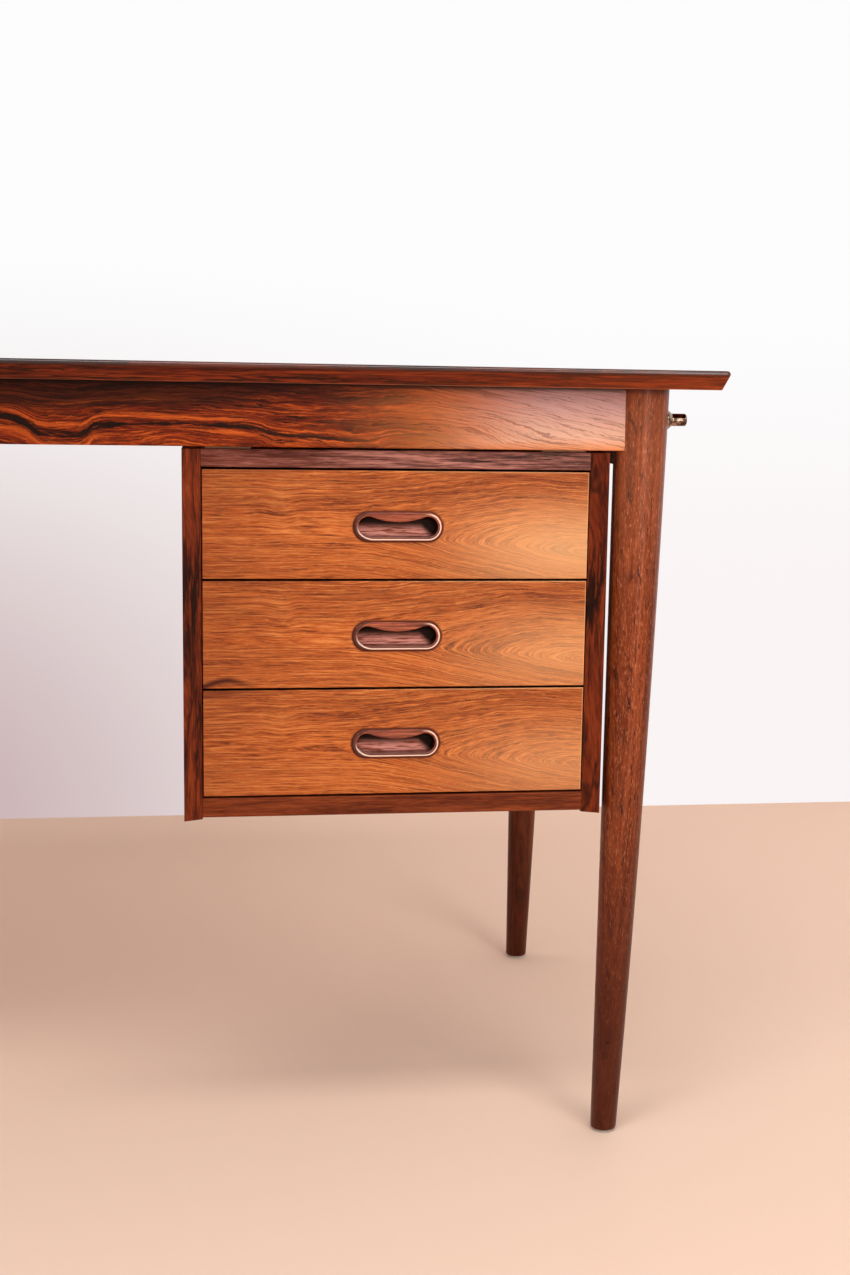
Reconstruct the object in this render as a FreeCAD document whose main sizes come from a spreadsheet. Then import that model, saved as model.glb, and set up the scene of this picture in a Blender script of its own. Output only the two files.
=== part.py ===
import FreeCAD, Part
import math
import os
import re

import Sketcher

# Extendable writing desk with two hung pedestals of three drawers each.
# X runs along the desk, Y from the front to the back, Z up from the floor.
# The origin is on the floor, under the middle of the tabletop.
# All sizes are millimetres.

SIZES = {
    # Tabletop: a veneered panel with solid lippings, undercut all round
    "desk_length": 1500.0,
    "desk_depth": 605.0,
    "desk_height": 730.0,
    "top_thick": 16.9,
    "lipping_width": 22.0,
    "undercut": 5.7,
    "nose_height": 3.2,
    "nose_radius": 3.0,
    "top_corner_radius": 4.0,
    # Frame under the top
    "apron_height": 55.5,
    "apron_thick": 12.5,
    "apron_setback": 32.0,
    "end_rail_height": 71.5,
    "end_rail_thick": 18.0,
    "end_rail_inset": 59.5,
    "arris_radius": 1.5,
    "corner_block_reach": 70.0,
    "corner_block_thick": 21.0,
    "glue_gap": 0.1,
    # Legs: round, upright on the inner side, tapered on the outer side
    "leg_top_diameter": 48.8,
    "leg_foot_diameter": 24.9,
    "leg_swell_share": 0.48,
    "leg_end_inset": 68.5,
    "leg_front_inset": 47.3,
    "foot_rounding": 2.0,
    "glide_thick": 2.0,
    "glide_diameter": 18.0,
    "glide_shank_diameter": 4.0,
    "glide_shank_length": 12.0,
    # Pedestals
    "pedestal_width": 380.0,
    "pedestal_back_inset": 41.0,
    "pedestal_end_inset": 99.8,
    "shadow_gap": 2.0,
    "side_thick": 16.4,
    "side_drop": 1.7,
    "stile_recess": 7.0,
    "stile_chamfer": 1.0,
    "rail_thick": 16.0,
    "floor_thick": 17.4,
    "back_thick": 6.0,
    "bearer_width": 40.0,
    "bearer_height": 21.0,
    "bearer_inset": 40.0,
    # Drawers
    "front_height": 96.5,
    "front_gap": 2.0,
    "front_thick": 17.0,
    "front_side_gap": 0.8,
    "front_arris_radius": 0.8,
    "drawer_back_room": 25.0,
    "drawer_side_thick": 12.0,
    "drawer_side_height": 78.0,
    "drawer_side_lift": 6.0,
    "drawer_side_gap": 0.8,
    "drawer_back_thick": 10.0,
    "drawer_back_drop": 5.0,
    "drawer_bottom_thick": 4.0,
    "drawer_bottom_lift": 7.0,
    "housing_depth": 4.0,
    "housing_play": 0.15,
    "runner_height": 10.0,
    "runner_bite": 4.5,
    "runner_play": 0.2,
    "runner_lift": 34.0,
    "runner_setback": 24.0,
    "runner_back_gap": 20.0,
    # Recessed pulls let into the drawer fronts
    "pull_width": 80.5,
    "pull_height": 27.0,
    "pull_rim": 4.4,
    "pull_proud": 2.2,
    "pull_sag": 4.9,
    "pull_lip_thick": 5.0,
    "pull_cup_depth": 14.0,
    "pull_back_radius": 5.0,
    "pull_edge_radius": 2.1,
    "pull_mouth_radius": 1.4,
    "pull_drop": 1.5,
    # Brass rods that carry the leaf, their bushes, and the fixed pegs
    "rod_diameter": 11.4,
    "rod_setback": 5.75,
    "rod_drop": 27.6,
    "rod_reach": 18.7,
    "rod_travel": 300.0,
    "rod_tip_radius": 1.7,
    "stop_length": 6.0,
    "stop_step": 2.0,
    "stop_play": 0.3,
    "bore_play": 0.05,
    "bush_wall": 1.45,
    "bush_inset": 38.0,
    "rosette_diameter": 20.4,
    "rosette_seat": 9.0,
    "rosette_height": 4.7,
    "rosette_lip": 0.4,
    "guide_length": 30.0,
    "guide_width": 18.0,
    "guide_height": 23.0,
    "guide_inset": 92.1,
    # Loose leaf, hung on the pegs under the left end
    "leaf_length": 450.0,
    "leaf_top_gap": 1.0,
    "leaf_leg_gap": 0.3,
    "batten_width": 45.0,
    "batten_length": 416.0,
    "batten_inset": 6.0,
    "peg_hole_play": 0.3,
    "rosette_hole_play": 0.5,
    # Wood screws
    "screw_length": 30.0,
    "screw_head_radius": 4.0,
    "screw_head_height": 3.0,
    "screw_shank_radius": 2.0,
    "screw_edge": 14.0,
    "pedestal_screw_inset": 120.0,
    # How far a cutting shape runs past what it cuts
    "overrun": 5.0,
}

# Places and sizes that follow from the sizes above
PLACES = {
    "under_top": "desk_height - top_thick",
    "apron_bottom": "under_top - apron_height",
    "apron_face": "desk_depth / 2 - apron_setback",
    "apron_back": "apron_face - apron_thick",
    "leg_axis_x": "desk_length / 2 - leg_end_inset",
    "leg_axis_y": "desk_depth / 2 - leg_front_inset",
    "leg_radius": "leg_top_diameter / 2",
    "leg_inner_x": "leg_axis_x - leg_radius",
    "leg_inner_y": "leg_axis_y - leg_radius",
    "leg_outer_x": "leg_axis_x + leg_radius",
    "end_rail_outer": "desk_length / 2 - end_rail_inset",
    "end_rail_inner": "end_rail_outer - end_rail_thick",
    "pedestal_outer": "desk_length / 2 - pedestal_end_inset",
    "pedestal_inner": "pedestal_outer - pedestal_width",
    "bay_outer": "pedestal_outer - side_thick",
    "bay_inner": "pedestal_inner + side_thick",
    "bay_middle": "(pedestal_outer + pedestal_inner) / 2",
    "pedestal_top": "apron_bottom - shadow_gap",
    "bay_top": "pedestal_top - rail_thick",
    "front_pitch": "front_height + front_gap",
    "bay_bottom": "bay_top - 3 * front_pitch - front_gap",
    "rail_bottom": "bay_bottom - floor_thick",
    "side_bottom": "rail_bottom - side_drop",
    "stile_face": "0 - apron_face",
    "drawer_face": "stile_face + stile_recess",
    "drawer_front_back": "drawer_face + front_thick",
    "drawer_end": "pedestal_back - back_thick - drawer_back_room",
    "pedestal_back": "apron_face - pedestal_back_inset",
    "rod_radius": "rod_diameter / 2",
    "rod_y": "leg_axis_y - rod_setback",
    "rod_z": "under_top - rod_drop",
    "rod_tip": "leg_outer_x + rod_reach",
    "bush_radius": "rod_radius + bore_play + bush_wall",
    "rosette_radius": "rosette_diameter / 2",
    "guide_inner": "leg_inner_x - guide_inset - guide_length",
    "rod_end": "guide_inner - rod_travel - stop_play - stop_length",
    "batten_thick": "under_top - rod_z - rod_radius",
    "batten_face": "leg_outer_x + leaf_leg_gap",
    "leaf_under": "batten_face + batten_thick",
    "leaf_over": "leaf_under + top_thick",
    "leaf_top": "under_top - leaf_top_gap",
    "leaf_foot": "leaf_top - leaf_length",
    "opening_width": "pull_width - 2 * pull_rim",
    "opening_radius": "pull_height / 2 - pull_rim",
    "opening_centre": "opening_width / 2 - opening_radius",
    "lip_height": "opening_radius - pull_sag",
    "sag_radius": "(opening_centre^2 + lip_height^2 - opening_radius^2) / (2 * pull_sag)",
}

document = FreeCAD.newDocument("desk")
sheet = document.addObject("Spreadsheet::Sheet", "Sizes")
for row, (size_name, size_value) in enumerate(SIZES.items(), start=1):
    sheet.set(f"A{row}", size_name)
    sheet.set(f"B{row}", str(size_value))
    sheet.setAlias(f"B{row}", size_name)
document.recompute()

nodes = []


def formula(text):
    """Expression text with sizes read from the sheet and places written out."""

    def written(match):
        word = match.group(0)
        if word in SIZES:
            return "Sizes." + word
        if word in PLACES:
            return "(" + formula(PLACES[word]) + ")"
        return word

    return re.sub(r"[a-z_]+", written, text)


def bind(thing, formulas):
    """Tie properties of an object to formulas of the named sizes."""
    for path, text in formulas.items():
        thing.setExpression(path, formula(text))


def number(name):
    """A size as it stands in the sheet."""
    return float(sheet.get(name))


def node(thing):
    """Keep an object as one of the pieces of the desk."""
    nodes.append(thing)
    return thing


def signed(sign, text):
    """A formula mirrored to the other side of the desk where sign is -1."""
    return text if sign > 0 else f"0 - ({text})"


def span(sign, low, high):
    """Two places along one axis, in rising order on either side of the desk."""
    return (low, high) if sign > 0 else (signed(-1, high), signed(-1, low))


def block(label, x, y, z):
    """A rectangular block between two places on each axis."""
    box = document.addObject("Part::Box", label)
    formulas = {}
    for size, axis, (low, high) in (("Length", "x", x), ("Width", "y", y), ("Height", "z", z)):
        formulas[size] = f"({high}) - ({low})"
        formulas["Placement.Base." + axis] = low
    bind(box, formulas)
    return box


def cut(label, base, tool):
    """One solid with another taken out of it."""
    result = document.addObject("Part::Cut", label)
    result.Base = base
    result.Tool = tool
    return result


def group(label, pieces):
    """Several separate solids that share one node."""
    result = document.addObject("Part::Compound", label)
    result.Links = pieces
    return result


def origin_plane(body, role):
    """One of the body's own origin planes or axes."""
    return next(feature for feature in body.Origin.OriginFeatures if feature.Role == role)


def sketch_on(body, plane, offset):
    """An empty sketch at a distance along the normal of an origin plane."""
    sketch = body.newObject("Sketcher::SketchObject", body.Name + "_sketch")
    sketch.AttachmentSupport = [(origin_plane(body, plane), "")]
    sketch.MapMode = "FlatFace"
    bind(sketch, {"AttachmentOffset.Base.z": offset})
    return sketch


def place_point(sketch, geometry, vertex, x, y):
    """Fix one point of a sketch at a place given by two formulas."""
    start = sketch.getPoint(geometry, vertex)
    for kind, text, first in (("DistanceX", x, start.x), ("DistanceY", y, start.y)):
        index = sketch.addConstraint(Sketcher.Constraint(kind, -1, 1, geometry, vertex, first))
        bind(sketch, {f"Constraints[{index}]": text})


def polygon(sketch, points):
    """A closed outline through the points, each a pair of formulas."""
    count = len(points)
    for corner in range(count):
        start = 2 * math.pi * corner / count
        end = 2 * math.pi * (corner + 1) / count
        sketch.addGeometry(
            Part.LineSegment(
                FreeCAD.Vector(math.cos(start), math.sin(start), 0),
                FreeCAD.Vector(math.cos(end), math.sin(end), 0),
            )
        )
    for corner in range(count):
        sketch.addConstraint(Sketcher.Constraint("Coincident", corner, 2, (corner + 1) % count, 1))
    for corner, (x, y) in enumerate(points):
        place_point(sketch, corner, 1, x, y)


def circle(sketch, x, y, radius):
    """A circle about a place given by two formulas."""
    index = sketch.addGeometry(Part.Circle(FreeCAD.Vector(0, 0, 0), FreeCAD.Vector(0, 0, 1), 1.0))
    place_point(sketch, index, 3, x, y)
    constraint = sketch.addConstraint(Sketcher.Constraint("Radius", index, 1.0))
    bind(sketch, {f"Constraints[{constraint}]": radius})


def pad(body, sketch, length, reverse=False):
    """Solid raised from a sketch."""
    feature = body.newObject("PartDesign::Pad", body.Name + "_pad")
    feature.Profile = sketch
    feature.Reversed = reverse
    bind(feature, {"Length": length})
    return feature


def pocket(body, sketch, length, reverse=False):
    """Hollow sunk from a sketch; it has to take some wood away."""
    document.recompute()
    before = body.Shape.Volume
    feature = body.newObject("PartDesign::Pocket", body.Name + "_pocket")
    feature.Profile = sketch
    feature.Reversed = reverse
    bind(feature, {"Length": length})
    document.recompute()
    if body.Shape.Volume >= before:
        raise RuntimeError(f"{feature.Name} cuts nothing")
    return feature


def ease(body, radius, chosen):
    """Round the edges of a body that the test picks."""
    document.recompute()
    base = body.Tip
    names = [f"Edge{place + 1}" for place, edge in enumerate(base.Shape.Edges) if chosen(edge)]
    if not names:
        raise RuntimeError(f"{body.Name} has no edge to ease")
    feature = body.newObject("PartDesign::Fillet", body.Name + "_eased")
    feature.Base = (base, names)
    bind(feature, {"Radius": radius})
    return feature


def prism(label, plane, points, low, high):
    """A body with a polygon for its section, between two places along the normal.

    The normal of XZ_Plane points to the front, so there low and high count forwards.
    """
    body = document.addObject("PartDesign::Body", label)
    sketch = sketch_on(body, plane, low)
    polygon(sketch, points)
    pad(body, sketch, f"({high}) - ({low})")
    return body


def turned(label, points):
    """A body turned about its own X axis from (along, radius) points."""
    body = document.addObject("PartDesign::Body", label)
    sketch = sketch_on(body, "XY_Plane", "0")
    polygon(sketch, points)
    feature = body.newObject("PartDesign::Revolution", label + "_turned")
    feature.Profile = sketch
    feature.ReferenceAxis = (origin_plane(body, "X_Axis"), [""])
    feature.Angle = 360.0
    return body


def edge_middle(edge):
    """The point half way along an edge."""
    return edge.valueAt((edge.FirstParameter + edge.LastParameter) / 2)


def straight_x(edge):
    """Whether an edge runs along the desk."""
    low, high = edge.BoundBox.XMin, edge.BoundBox.XMax
    return high - low > 0.5 * edge.Length


def bevelled_slab(label, plane, low, high, small, large, reverse=False):
    """A slab undercut from a large outline to a small one, with an upright nose beyond."""
    body = document.addObject("PartDesign::Body", label)
    shoulder = f"({high}) + nose_height" if reverse else f"({high}) - nose_height"
    outlines = []
    for offset, (u, v) in ((low, small), (shoulder, large), (shoulder, large)):
        sketch = sketch_on(body, plane, offset)
        polygon(sketch, [(u[0], v[0]), (u[1], v[0]), (u[1], v[1]), (u[0], v[1])])
        outlines.append(sketch)
    loft = body.newObject("PartDesign::AdditiveLoft", label + "_loft")
    loft.Profile = outlines[0]
    loft.Sections = [outlines[1]]
    loft.Ruled = True
    pad(body, outlines[2], "nose_height", reverse)
    return body


def mitred(label, ring, plane, half_u, v_low, v_high, low, high):
    """The four lippings of a slab: its ring parted at forty-five degree mitres."""
    middle = f"(({v_low}) + ({v_high})) / 2"
    depth = f"(({v_high}) - ({v_low})) / 2"
    inner = f"({half_u}) - ({depth})"
    outer = f"({half_u})"
    pieces = []
    for name, edge in (("near", v_low), ("far", v_high)):
        points = [
            ("0 - " + outer, edge),
            (outer, edge),
            (inner, middle),
            ("0 - (" + inner + ")", middle),
        ]
        pieces.append((name, points))
    for name, sign in (("left", "0 - "), ("right", "")):
        points = [
            (f"{sign}{outer}", v_low),
            (f"{sign}{outer}", v_high),
            (f"{sign}({inner})", middle),
        ]
        pieces.append((name, points))
    lippings = []
    for name, points in pieces:
        sector = prism(f"{label}_{name}_sector", plane, points, low, high)
        lipping = document.addObject("Part::Common", f"{label}_{name}")
        lipping.Base = ring
        lipping.Tool = sector
        lippings.append(lipping)
    return group(label, lippings)


def wood_screw(label, x, y, z, turn):
    """A countersunk screw driven upwards, or outwards to the left where it is turned."""
    head = document.addObject("Part::Cone", label + "_head")
    shank = document.addObject("Part::Cylinder", label + "_shank")
    bind(head, {
        "Radius1": "screw_head_radius",
        "Radius2": "screw_shank_radius",
        "Height": "screw_head_height",
    })
    bind(shank, {
        "Radius": "screw_shank_radius",
        "Height": "screw_length - screw_head_height",
        "Placement.Base.z": "screw_head_height",
    })
    screw = document.addObject("Part::Fuse", label)
    screw.Base = head
    screw.Tool = shank
    if turn:
        screw.Placement.Rotation = FreeCAD.Rotation(FreeCAD.Vector(0, 1, 0), -90)
    bind(screw, {"Placement.Base.x": x, "Placement.Base.y": y, "Placement.Base.z": z})
    return screw


def leg_place(inner, share):
    """Centre of a leg's section at a share of its height, and the section's radius."""
    grown = f"({share} * (1 + leg_swell_share) - {share}^2 * leg_swell_share)"
    radius = f"(leg_foot_diameter + (leg_top_diameter - leg_foot_diameter) * {grown}) / 2"
    return f"{inner} + {radius}", radius


LEG_HEIGHT_SHARES = (0, 0.2, 0.4, 0.6, 0.8, 1)
FOOT_ROUNDING_SHARES = ((0, 1), (0.134, 0.5), (0.5, 0.134), (1, 0))


def make_leg(label, side, end):
    """A round leg with a socket for its glide, not yet bored for its brass fitting."""
    body = document.addObject("PartDesign::Body", label + "_blank")
    foot_x, foot_radius = leg_place("leg_inner_x", 0)
    foot_y, foot_radius = leg_place("leg_inner_y", 0)
    foot = []
    for height_share, inset_share in FOOT_ROUNDING_SHARES:
        sketch = sketch_on(body, "XY_Plane", f"glide_thick + {height_share} * foot_rounding")
        radius = f"{foot_radius} - {inset_share} * foot_rounding"
        circle(sketch, signed(side, foot_x), signed(end, foot_y), radius)
        foot.append(sketch)
    taper = []
    for share in LEG_HEIGHT_SHARES:
        start = "glide_thick + foot_rounding"
        sketch = sketch_on(body, "XY_Plane", f"{start} + {share} * (under_top - ({start}))")
        centre_x, radius = leg_place("leg_inner_x", share)
        centre_y, radius = leg_place("leg_inner_y", share)
        circle(sketch, signed(side, centre_x), signed(end, centre_y), radius)
        taper.append(sketch)
    for outlines, ruled in ((foot, True), (taper, False)):
        loft = body.newObject("PartDesign::AdditiveLoft", label + "_loft")
        loft.Profile = outlines[0]
        loft.Sections = outlines[1:]
        loft.Ruled = ruled
    socket = sketch_on(body, "XY_Plane", "glide_thick")
    circle(socket, signed(side, foot_x), signed(end, foot_y), "glide_shank_diameter / 2")
    pocket(body, socket, "glide_shank_length", reverse=True)
    return body


def bore_leg(label, blank, side, end):
    """A leg bored through for a rod's bush, or part of the way in for a peg."""
    start = "leg_inner_x - overrun" if side > 0 else "leg_outer_x - bush_inset"
    bore = document.addObject("Part::Cylinder", label + "_bore")
    bore.Placement.Rotation = FreeCAD.Rotation(FreeCAD.Vector(0, 1, 0), side * 90)
    bind(bore, {
        "Radius": "bush_radius",
        "Height": "leg_top_diameter + 2 * overrun",
        "Placement.Base.x": signed(side, start),
        "Placement.Base.y": signed(end, "rod_y"),
        "Placement.Base.z": "rod_z",
    })
    return node(cut(label, blank, bore))


def make_glide(label, side, end):
    """A disc under the foot on a shank driven up into the leg."""
    body = document.addObject("PartDesign::Body", label)
    foot_x, foot_radius = leg_place("leg_inner_x", 0)
    foot_y, foot_radius = leg_place("leg_inner_y", 0)
    centre = signed(side, foot_x), signed(end, foot_y)
    disc = sketch_on(body, "XY_Plane", "0")
    circle(disc, *centre, "glide_diameter / 2")
    pad(body, disc, "glide_thick")
    shank = sketch_on(body, "XY_Plane", "glide_thick")
    circle(shank, *centre, "glide_shank_diameter / 2")
    pad(body, shank, "glide_shank_length")
    return body


LEG_SIDES = (("left", -1), ("right", 1))
LEG_ENDS = (("front", -1), ("rear", 1))
leg_blanks = {}
legs = {}
glides = []
for end_name, end in LEG_ENDS:
    for side_name, side in LEG_SIDES:
        name = f"{end_name}_{side_name}_leg"
        leg_blanks[side, end] = make_leg(name, side, end)
        legs[side, end] = bore_leg(name, leg_blanks[side, end], side, end)
        glides.append(make_glide(f"{end_name}_{side_name}_glide", side, end))
node(group("foot_glides", glides))


def make_apron(label, end):
    """A long rail between two legs, its ends shaped to their round sides."""
    face = "apron_face"
    back = "apron_back"
    x_ends = ("0 - leg_axis_x", "leg_axis_x")
    y_ends = span(end, back, face)
    blank = prism(
        label + "_blank",
        "XZ_Plane",
        [
            (x_ends[0], "apron_bottom"),
            (x_ends[1], "apron_bottom"),
            (x_ends[1], "under_top"),
            (x_ends[0], "under_top"),
        ],
        signed(-1, y_ends[1]),
        signed(-1, y_ends[0]),
    )
    document.recompute()
    bottom = blank.Shape.BoundBox.ZMin + number("glue_gap")
    ease(blank, "arris_radius", lambda edge: edge.BoundBox.ZMax < bottom and straight_x(edge))
    between = cut(label + "_left", blank, leg_blanks[-1, end])
    return node(cut(label, between, leg_blanks[1, end]))


make_apron("front_apron", -1)
make_apron("rear_apron", 1)


def make_end_rail(label, side):
    """A rail across the desk's end, between the front and the rear leg."""
    x_ends = span(side, "end_rail_inner", "end_rail_outer")
    z_ends = ("under_top - end_rail_height", "under_top")
    blank = block(label + "_blank", x_ends, ("0 - leg_axis_y", "leg_axis_y"), z_ends)
    between = cut(label + "_front", blank, leg_blanks[side, -1])
    return node(cut(label, between, leg_blanks[side, 1]))


make_end_rail("left_end_rail", -1)
make_end_rail("right_end_rail", 1)


def make_corner_block(label, side, end):
    """A glued block across an inner corner of the frame, clear of the leg and the rod."""
    wall_x = "end_rail_inner - glue_gap"
    wall_y = "apron_back - glue_gap"
    points = [
        (signed(side, wall_x), signed(end, wall_y)),
        (signed(side, wall_x), signed(end, f"({wall_y}) - corner_block_reach")),
        (signed(side, f"({wall_x}) - corner_block_reach"), signed(end, wall_y)),
    ]
    low = "under_top - corner_block_thick"
    blank = prism(label + "_blank", "XY_Plane", points, low, "under_top")
    post = document.addObject("Part::Cylinder", label + "_post")
    bind(post, {
        "Radius": "leg_radius + glue_gap",
        "Height": "corner_block_thick + 2 * overrun",
        "Placement.Base.x": signed(side, "leg_axis_x"),
        "Placement.Base.y": signed(end, "leg_axis_y"),
        "Placement.Base.z": low + " - overrun",
    })
    return cut(label, blank, post)


top_screws = []
corner_blocks = []
for end_name, end in LEG_ENDS:
    for side_name, side in LEG_SIDES:
        name = f"{end_name}_{side_name}_corner_block"
        blank = make_corner_block(name + "_solid", side, end)
        half_reach = "corner_block_reach / 2"
        pair = []
        for place_name, from_rail, from_apron in (
            ("side", "screw_edge", half_reach),
            ("long", half_reach, "screw_edge"),
        ):
            pair.append(wood_screw(
                f"{name}_{place_name}_screw",
                signed(side, f"end_rail_inner - {from_rail}"),
                signed(end, f"apron_back - {from_apron}"),
                "under_top - corner_block_thick",
                turn=False,
            ))
        top_screws += pair
        corner_blocks.append(cut(name, blank, group(name + "_screw_pair", pair)))
node(group("corner_blocks", corner_blocks))
node(group("top_screws", top_screws))


def make_top():
    """The top panel in its four lippings, the whole undercut and with a rounded nose."""
    half_x = "desk_length / 2"
    half_y = "desk_depth / 2"
    small = [(f"undercut - {half}", f"{half} - undercut") for half in (half_x, half_y)]
    large = [(f"0 - {half}", half) for half in (half_x, half_y)]
    slab = bevelled_slab("top_blank", "XY_Plane", "under_top", "desk_height", small, large)
    ease(slab, "top_corner_radius", lambda edge: edge.BoundBox.ZLength > 0.5 * edge.Length)
    crest = number("desk_height")
    ease(slab, "nose_radius", lambda edge: edge.BoundBox.ZMin > crest - number("glue_gap"))
    core_x = (f"lipping_width - {half_x}", f"{half_x} - lipping_width")
    core_y = (f"lipping_width - {half_y}", f"{half_y} - lipping_width")
    core = block("top_core", core_x, core_y, ("under_top", "desk_height"))
    node(cut("top_panel", core, document.getObject("top_screws")))
    room = block("top_core_room", core_x, core_y, ("under_top - overrun", "desk_height + overrun"))
    ring = cut("top_ring", slab, room)
    ends = ("0 - desk_depth / 2", "desk_depth / 2")
    limits = ("under_top - overrun", "desk_height + overrun")
    node(mitred("top_lippings", ring, "XY_Plane", half_x, *ends, *limits))


make_top()

# Pedestals, hung from bearers that run from apron to apron under the rods

pedestal_screws = []
bearers = []
for side_name, side in LEG_SIDES:
    for place_name, middle in (
        ("inner", "pedestal_inner + bearer_inset"),
        ("outer", "pedestal_outer - bearer_inset"),
    ):
        name = f"{side_name}_{place_name}_bearer"
        x_ends = span(side, f"{middle} - bearer_width / 2", f"{middle} + bearer_width / 2")
        y_ends = ("0 - apron_back", "apron_back")
        blank = block(name + "_blank", x_ends, y_ends, ("pedestal_top", "pedestal_top + bearer_height"))
        screws = []
        for end_name, y in (
            ("front", "stile_face + pedestal_screw_inset"),
            ("rear", "pedestal_back - pedestal_screw_inset"),
        ):
            screw_name = f"{name}_{end_name}_screw"
            screws.append(wood_screw(screw_name, signed(side, middle), y, "bay_top", turn=False))
        pedestal_screws += screws
        bearers.append(cut(name, blank, group(name + "_screw_pair", screws)))
node(group("cross_bearers", bearers))
node(group("pedestal_screws", pedestal_screws))


def make_side(label, side, outer):
    """A pedestal side whose front edge slopes back from its outer face to the drawers."""
    near, far = ("pedestal_outer", "bay_outer") if outer else ("pedestal_inner", "bay_inner")
    points = [
        (signed(side, near), "stile_face"),
        (signed(side, far), "drawer_face"),
        (signed(side, far), "pedestal_back"),
        (signed(side, near), "pedestal_back"),
    ]
    body = prism(label, "XY_Plane", points, "side_bottom", "pedestal_top")
    document.recompute()
    box = body.Shape.BoundBox
    front = box.YMin + number("stile_recess") + number("glue_gap")
    ease(body, "stile_chamfer", lambda edge: edge.BoundBox.YMax < front)
    return node(body)


def make_shelf(label, side, low, high):
    """The top or the bottom board between two pedestal sides."""
    x_ends = span(side, "bay_inner", "bay_outer")
    y_ends = ("drawer_face", "pedestal_back - back_thick")
    body = prism(
        label,
        "XZ_Plane",
        [(x_ends[0], low), (x_ends[1], low), (x_ends[1], high), (x_ends[0], high)],
        signed(-1, y_ends[1]),
        signed(-1, y_ends[0]),
    )
    document.recompute()
    front = body.Shape.BoundBox.YMin + number("glue_gap")
    ease(body, "front_arris_radius", lambda edge: edge.BoundBox.YMax < front and straight_x(edge))
    return body


def drawer_bottom_place(level):
    """Lower edge of the drawer front on a level counted from the top."""
    return f"bay_top - {level} * front_pitch"


def make_runners(side_name, side):
    """Two hardwood strips for each drawer, on which the grooves of its sides run."""
    strips = []
    for level in (1, 2, 3):
        low = f"({drawer_bottom_place(level)}) + drawer_side_lift + runner_lift"
        for place_name, wall, inward in (("inner", "bay_inner", "+"), ("outer", "bay_outer", "-")):
            tip = f"{wall} {inward} (drawer_side_gap + runner_bite)"
            low_x, high_x = (wall, tip) if inward == "+" else (tip, wall)
            strips.append(block(
                f"{side_name}_{place_name}_runner_{level}",
                span(side, low_x, high_x),
                ("drawer_face + runner_setback", "pedestal_back - back_thick - runner_back_gap"),
                (low, f"{low} + runner_height"),
            ))
    return node(group(f"{side_name}_runners", strips))


def make_pedestal(side_name, side):
    """One pedestal without its drawers."""
    make_side(f"{side_name}_inner_side", side, outer=False)
    make_side(f"{side_name}_outer_side", side, outer=True)
    top = make_shelf(f"{side_name}_top_blank", side, "bay_top", "pedestal_top")
    node(cut(f"{side_name}_top_board", top, document.getObject("pedestal_screws")))
    node(make_shelf(f"{side_name}_bottom_board", side, "rail_bottom", "bay_bottom"))
    node(block(
        f"{side_name}_back_panel",
        span(side, "bay_inner", "bay_outer"),
        ("pedestal_back - back_thick", "pedestal_back"),
        ("rail_bottom", "pedestal_top"),
    ))
    make_runners(side_name, side)


for side_name, side in LEG_SIDES:
    make_pedestal(side_name, side)

# Drawers


def slot_outline(sketch, half_length, radius):
    """A long hole with round ends, centred on the sketch's origin."""
    half = number("pull_height") / 2
    reach = number("pull_width") / 2 - half
    up = FreeCAD.Vector(0, 0, 1)
    quarter = math.pi / 2
    left_circle = Part.Circle(FreeCAD.Vector(-reach, 0, 0), up, half)
    right_circle = Part.Circle(FreeCAD.Vector(reach, 0, 0), up, half)
    corners = [FreeCAD.Vector(-reach, -half, 0), FreeCAD.Vector(reach, -half, 0)]
    corners += [FreeCAD.Vector(reach, half, 0), FreeCAD.Vector(-reach, half, 0)]
    left = sketch.addGeometry(Part.ArcOfCircle(left_circle, quarter, 3 * quarter))
    right = sketch.addGeometry(Part.ArcOfCircle(right_circle, -quarter, quarter))
    low = sketch.addGeometry(Part.LineSegment(corners[0], corners[1]))
    high = sketch.addGeometry(Part.LineSegment(corners[2], corners[3]))
    for first, first_end, second, second_end in (
        (left, 2, low, 1),
        (low, 2, right, 1),
        (right, 2, high, 1),
        (high, 2, left, 1),
    ):
        sketch.addConstraint(Sketcher.Constraint("Tangent", first, first_end, second, second_end))
    sketch.addConstraint(Sketcher.Constraint("Equal", left, right))
    place_point(sketch, left, 3, f"0 - ({half_length})", "0")
    place_point(sketch, right, 3, half_length, "0")
    constraint = sketch.addConstraint(Sketcher.Constraint("Radius", left, half))
    bind(sketch, {f"Constraints[{constraint}]": radius})


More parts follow.
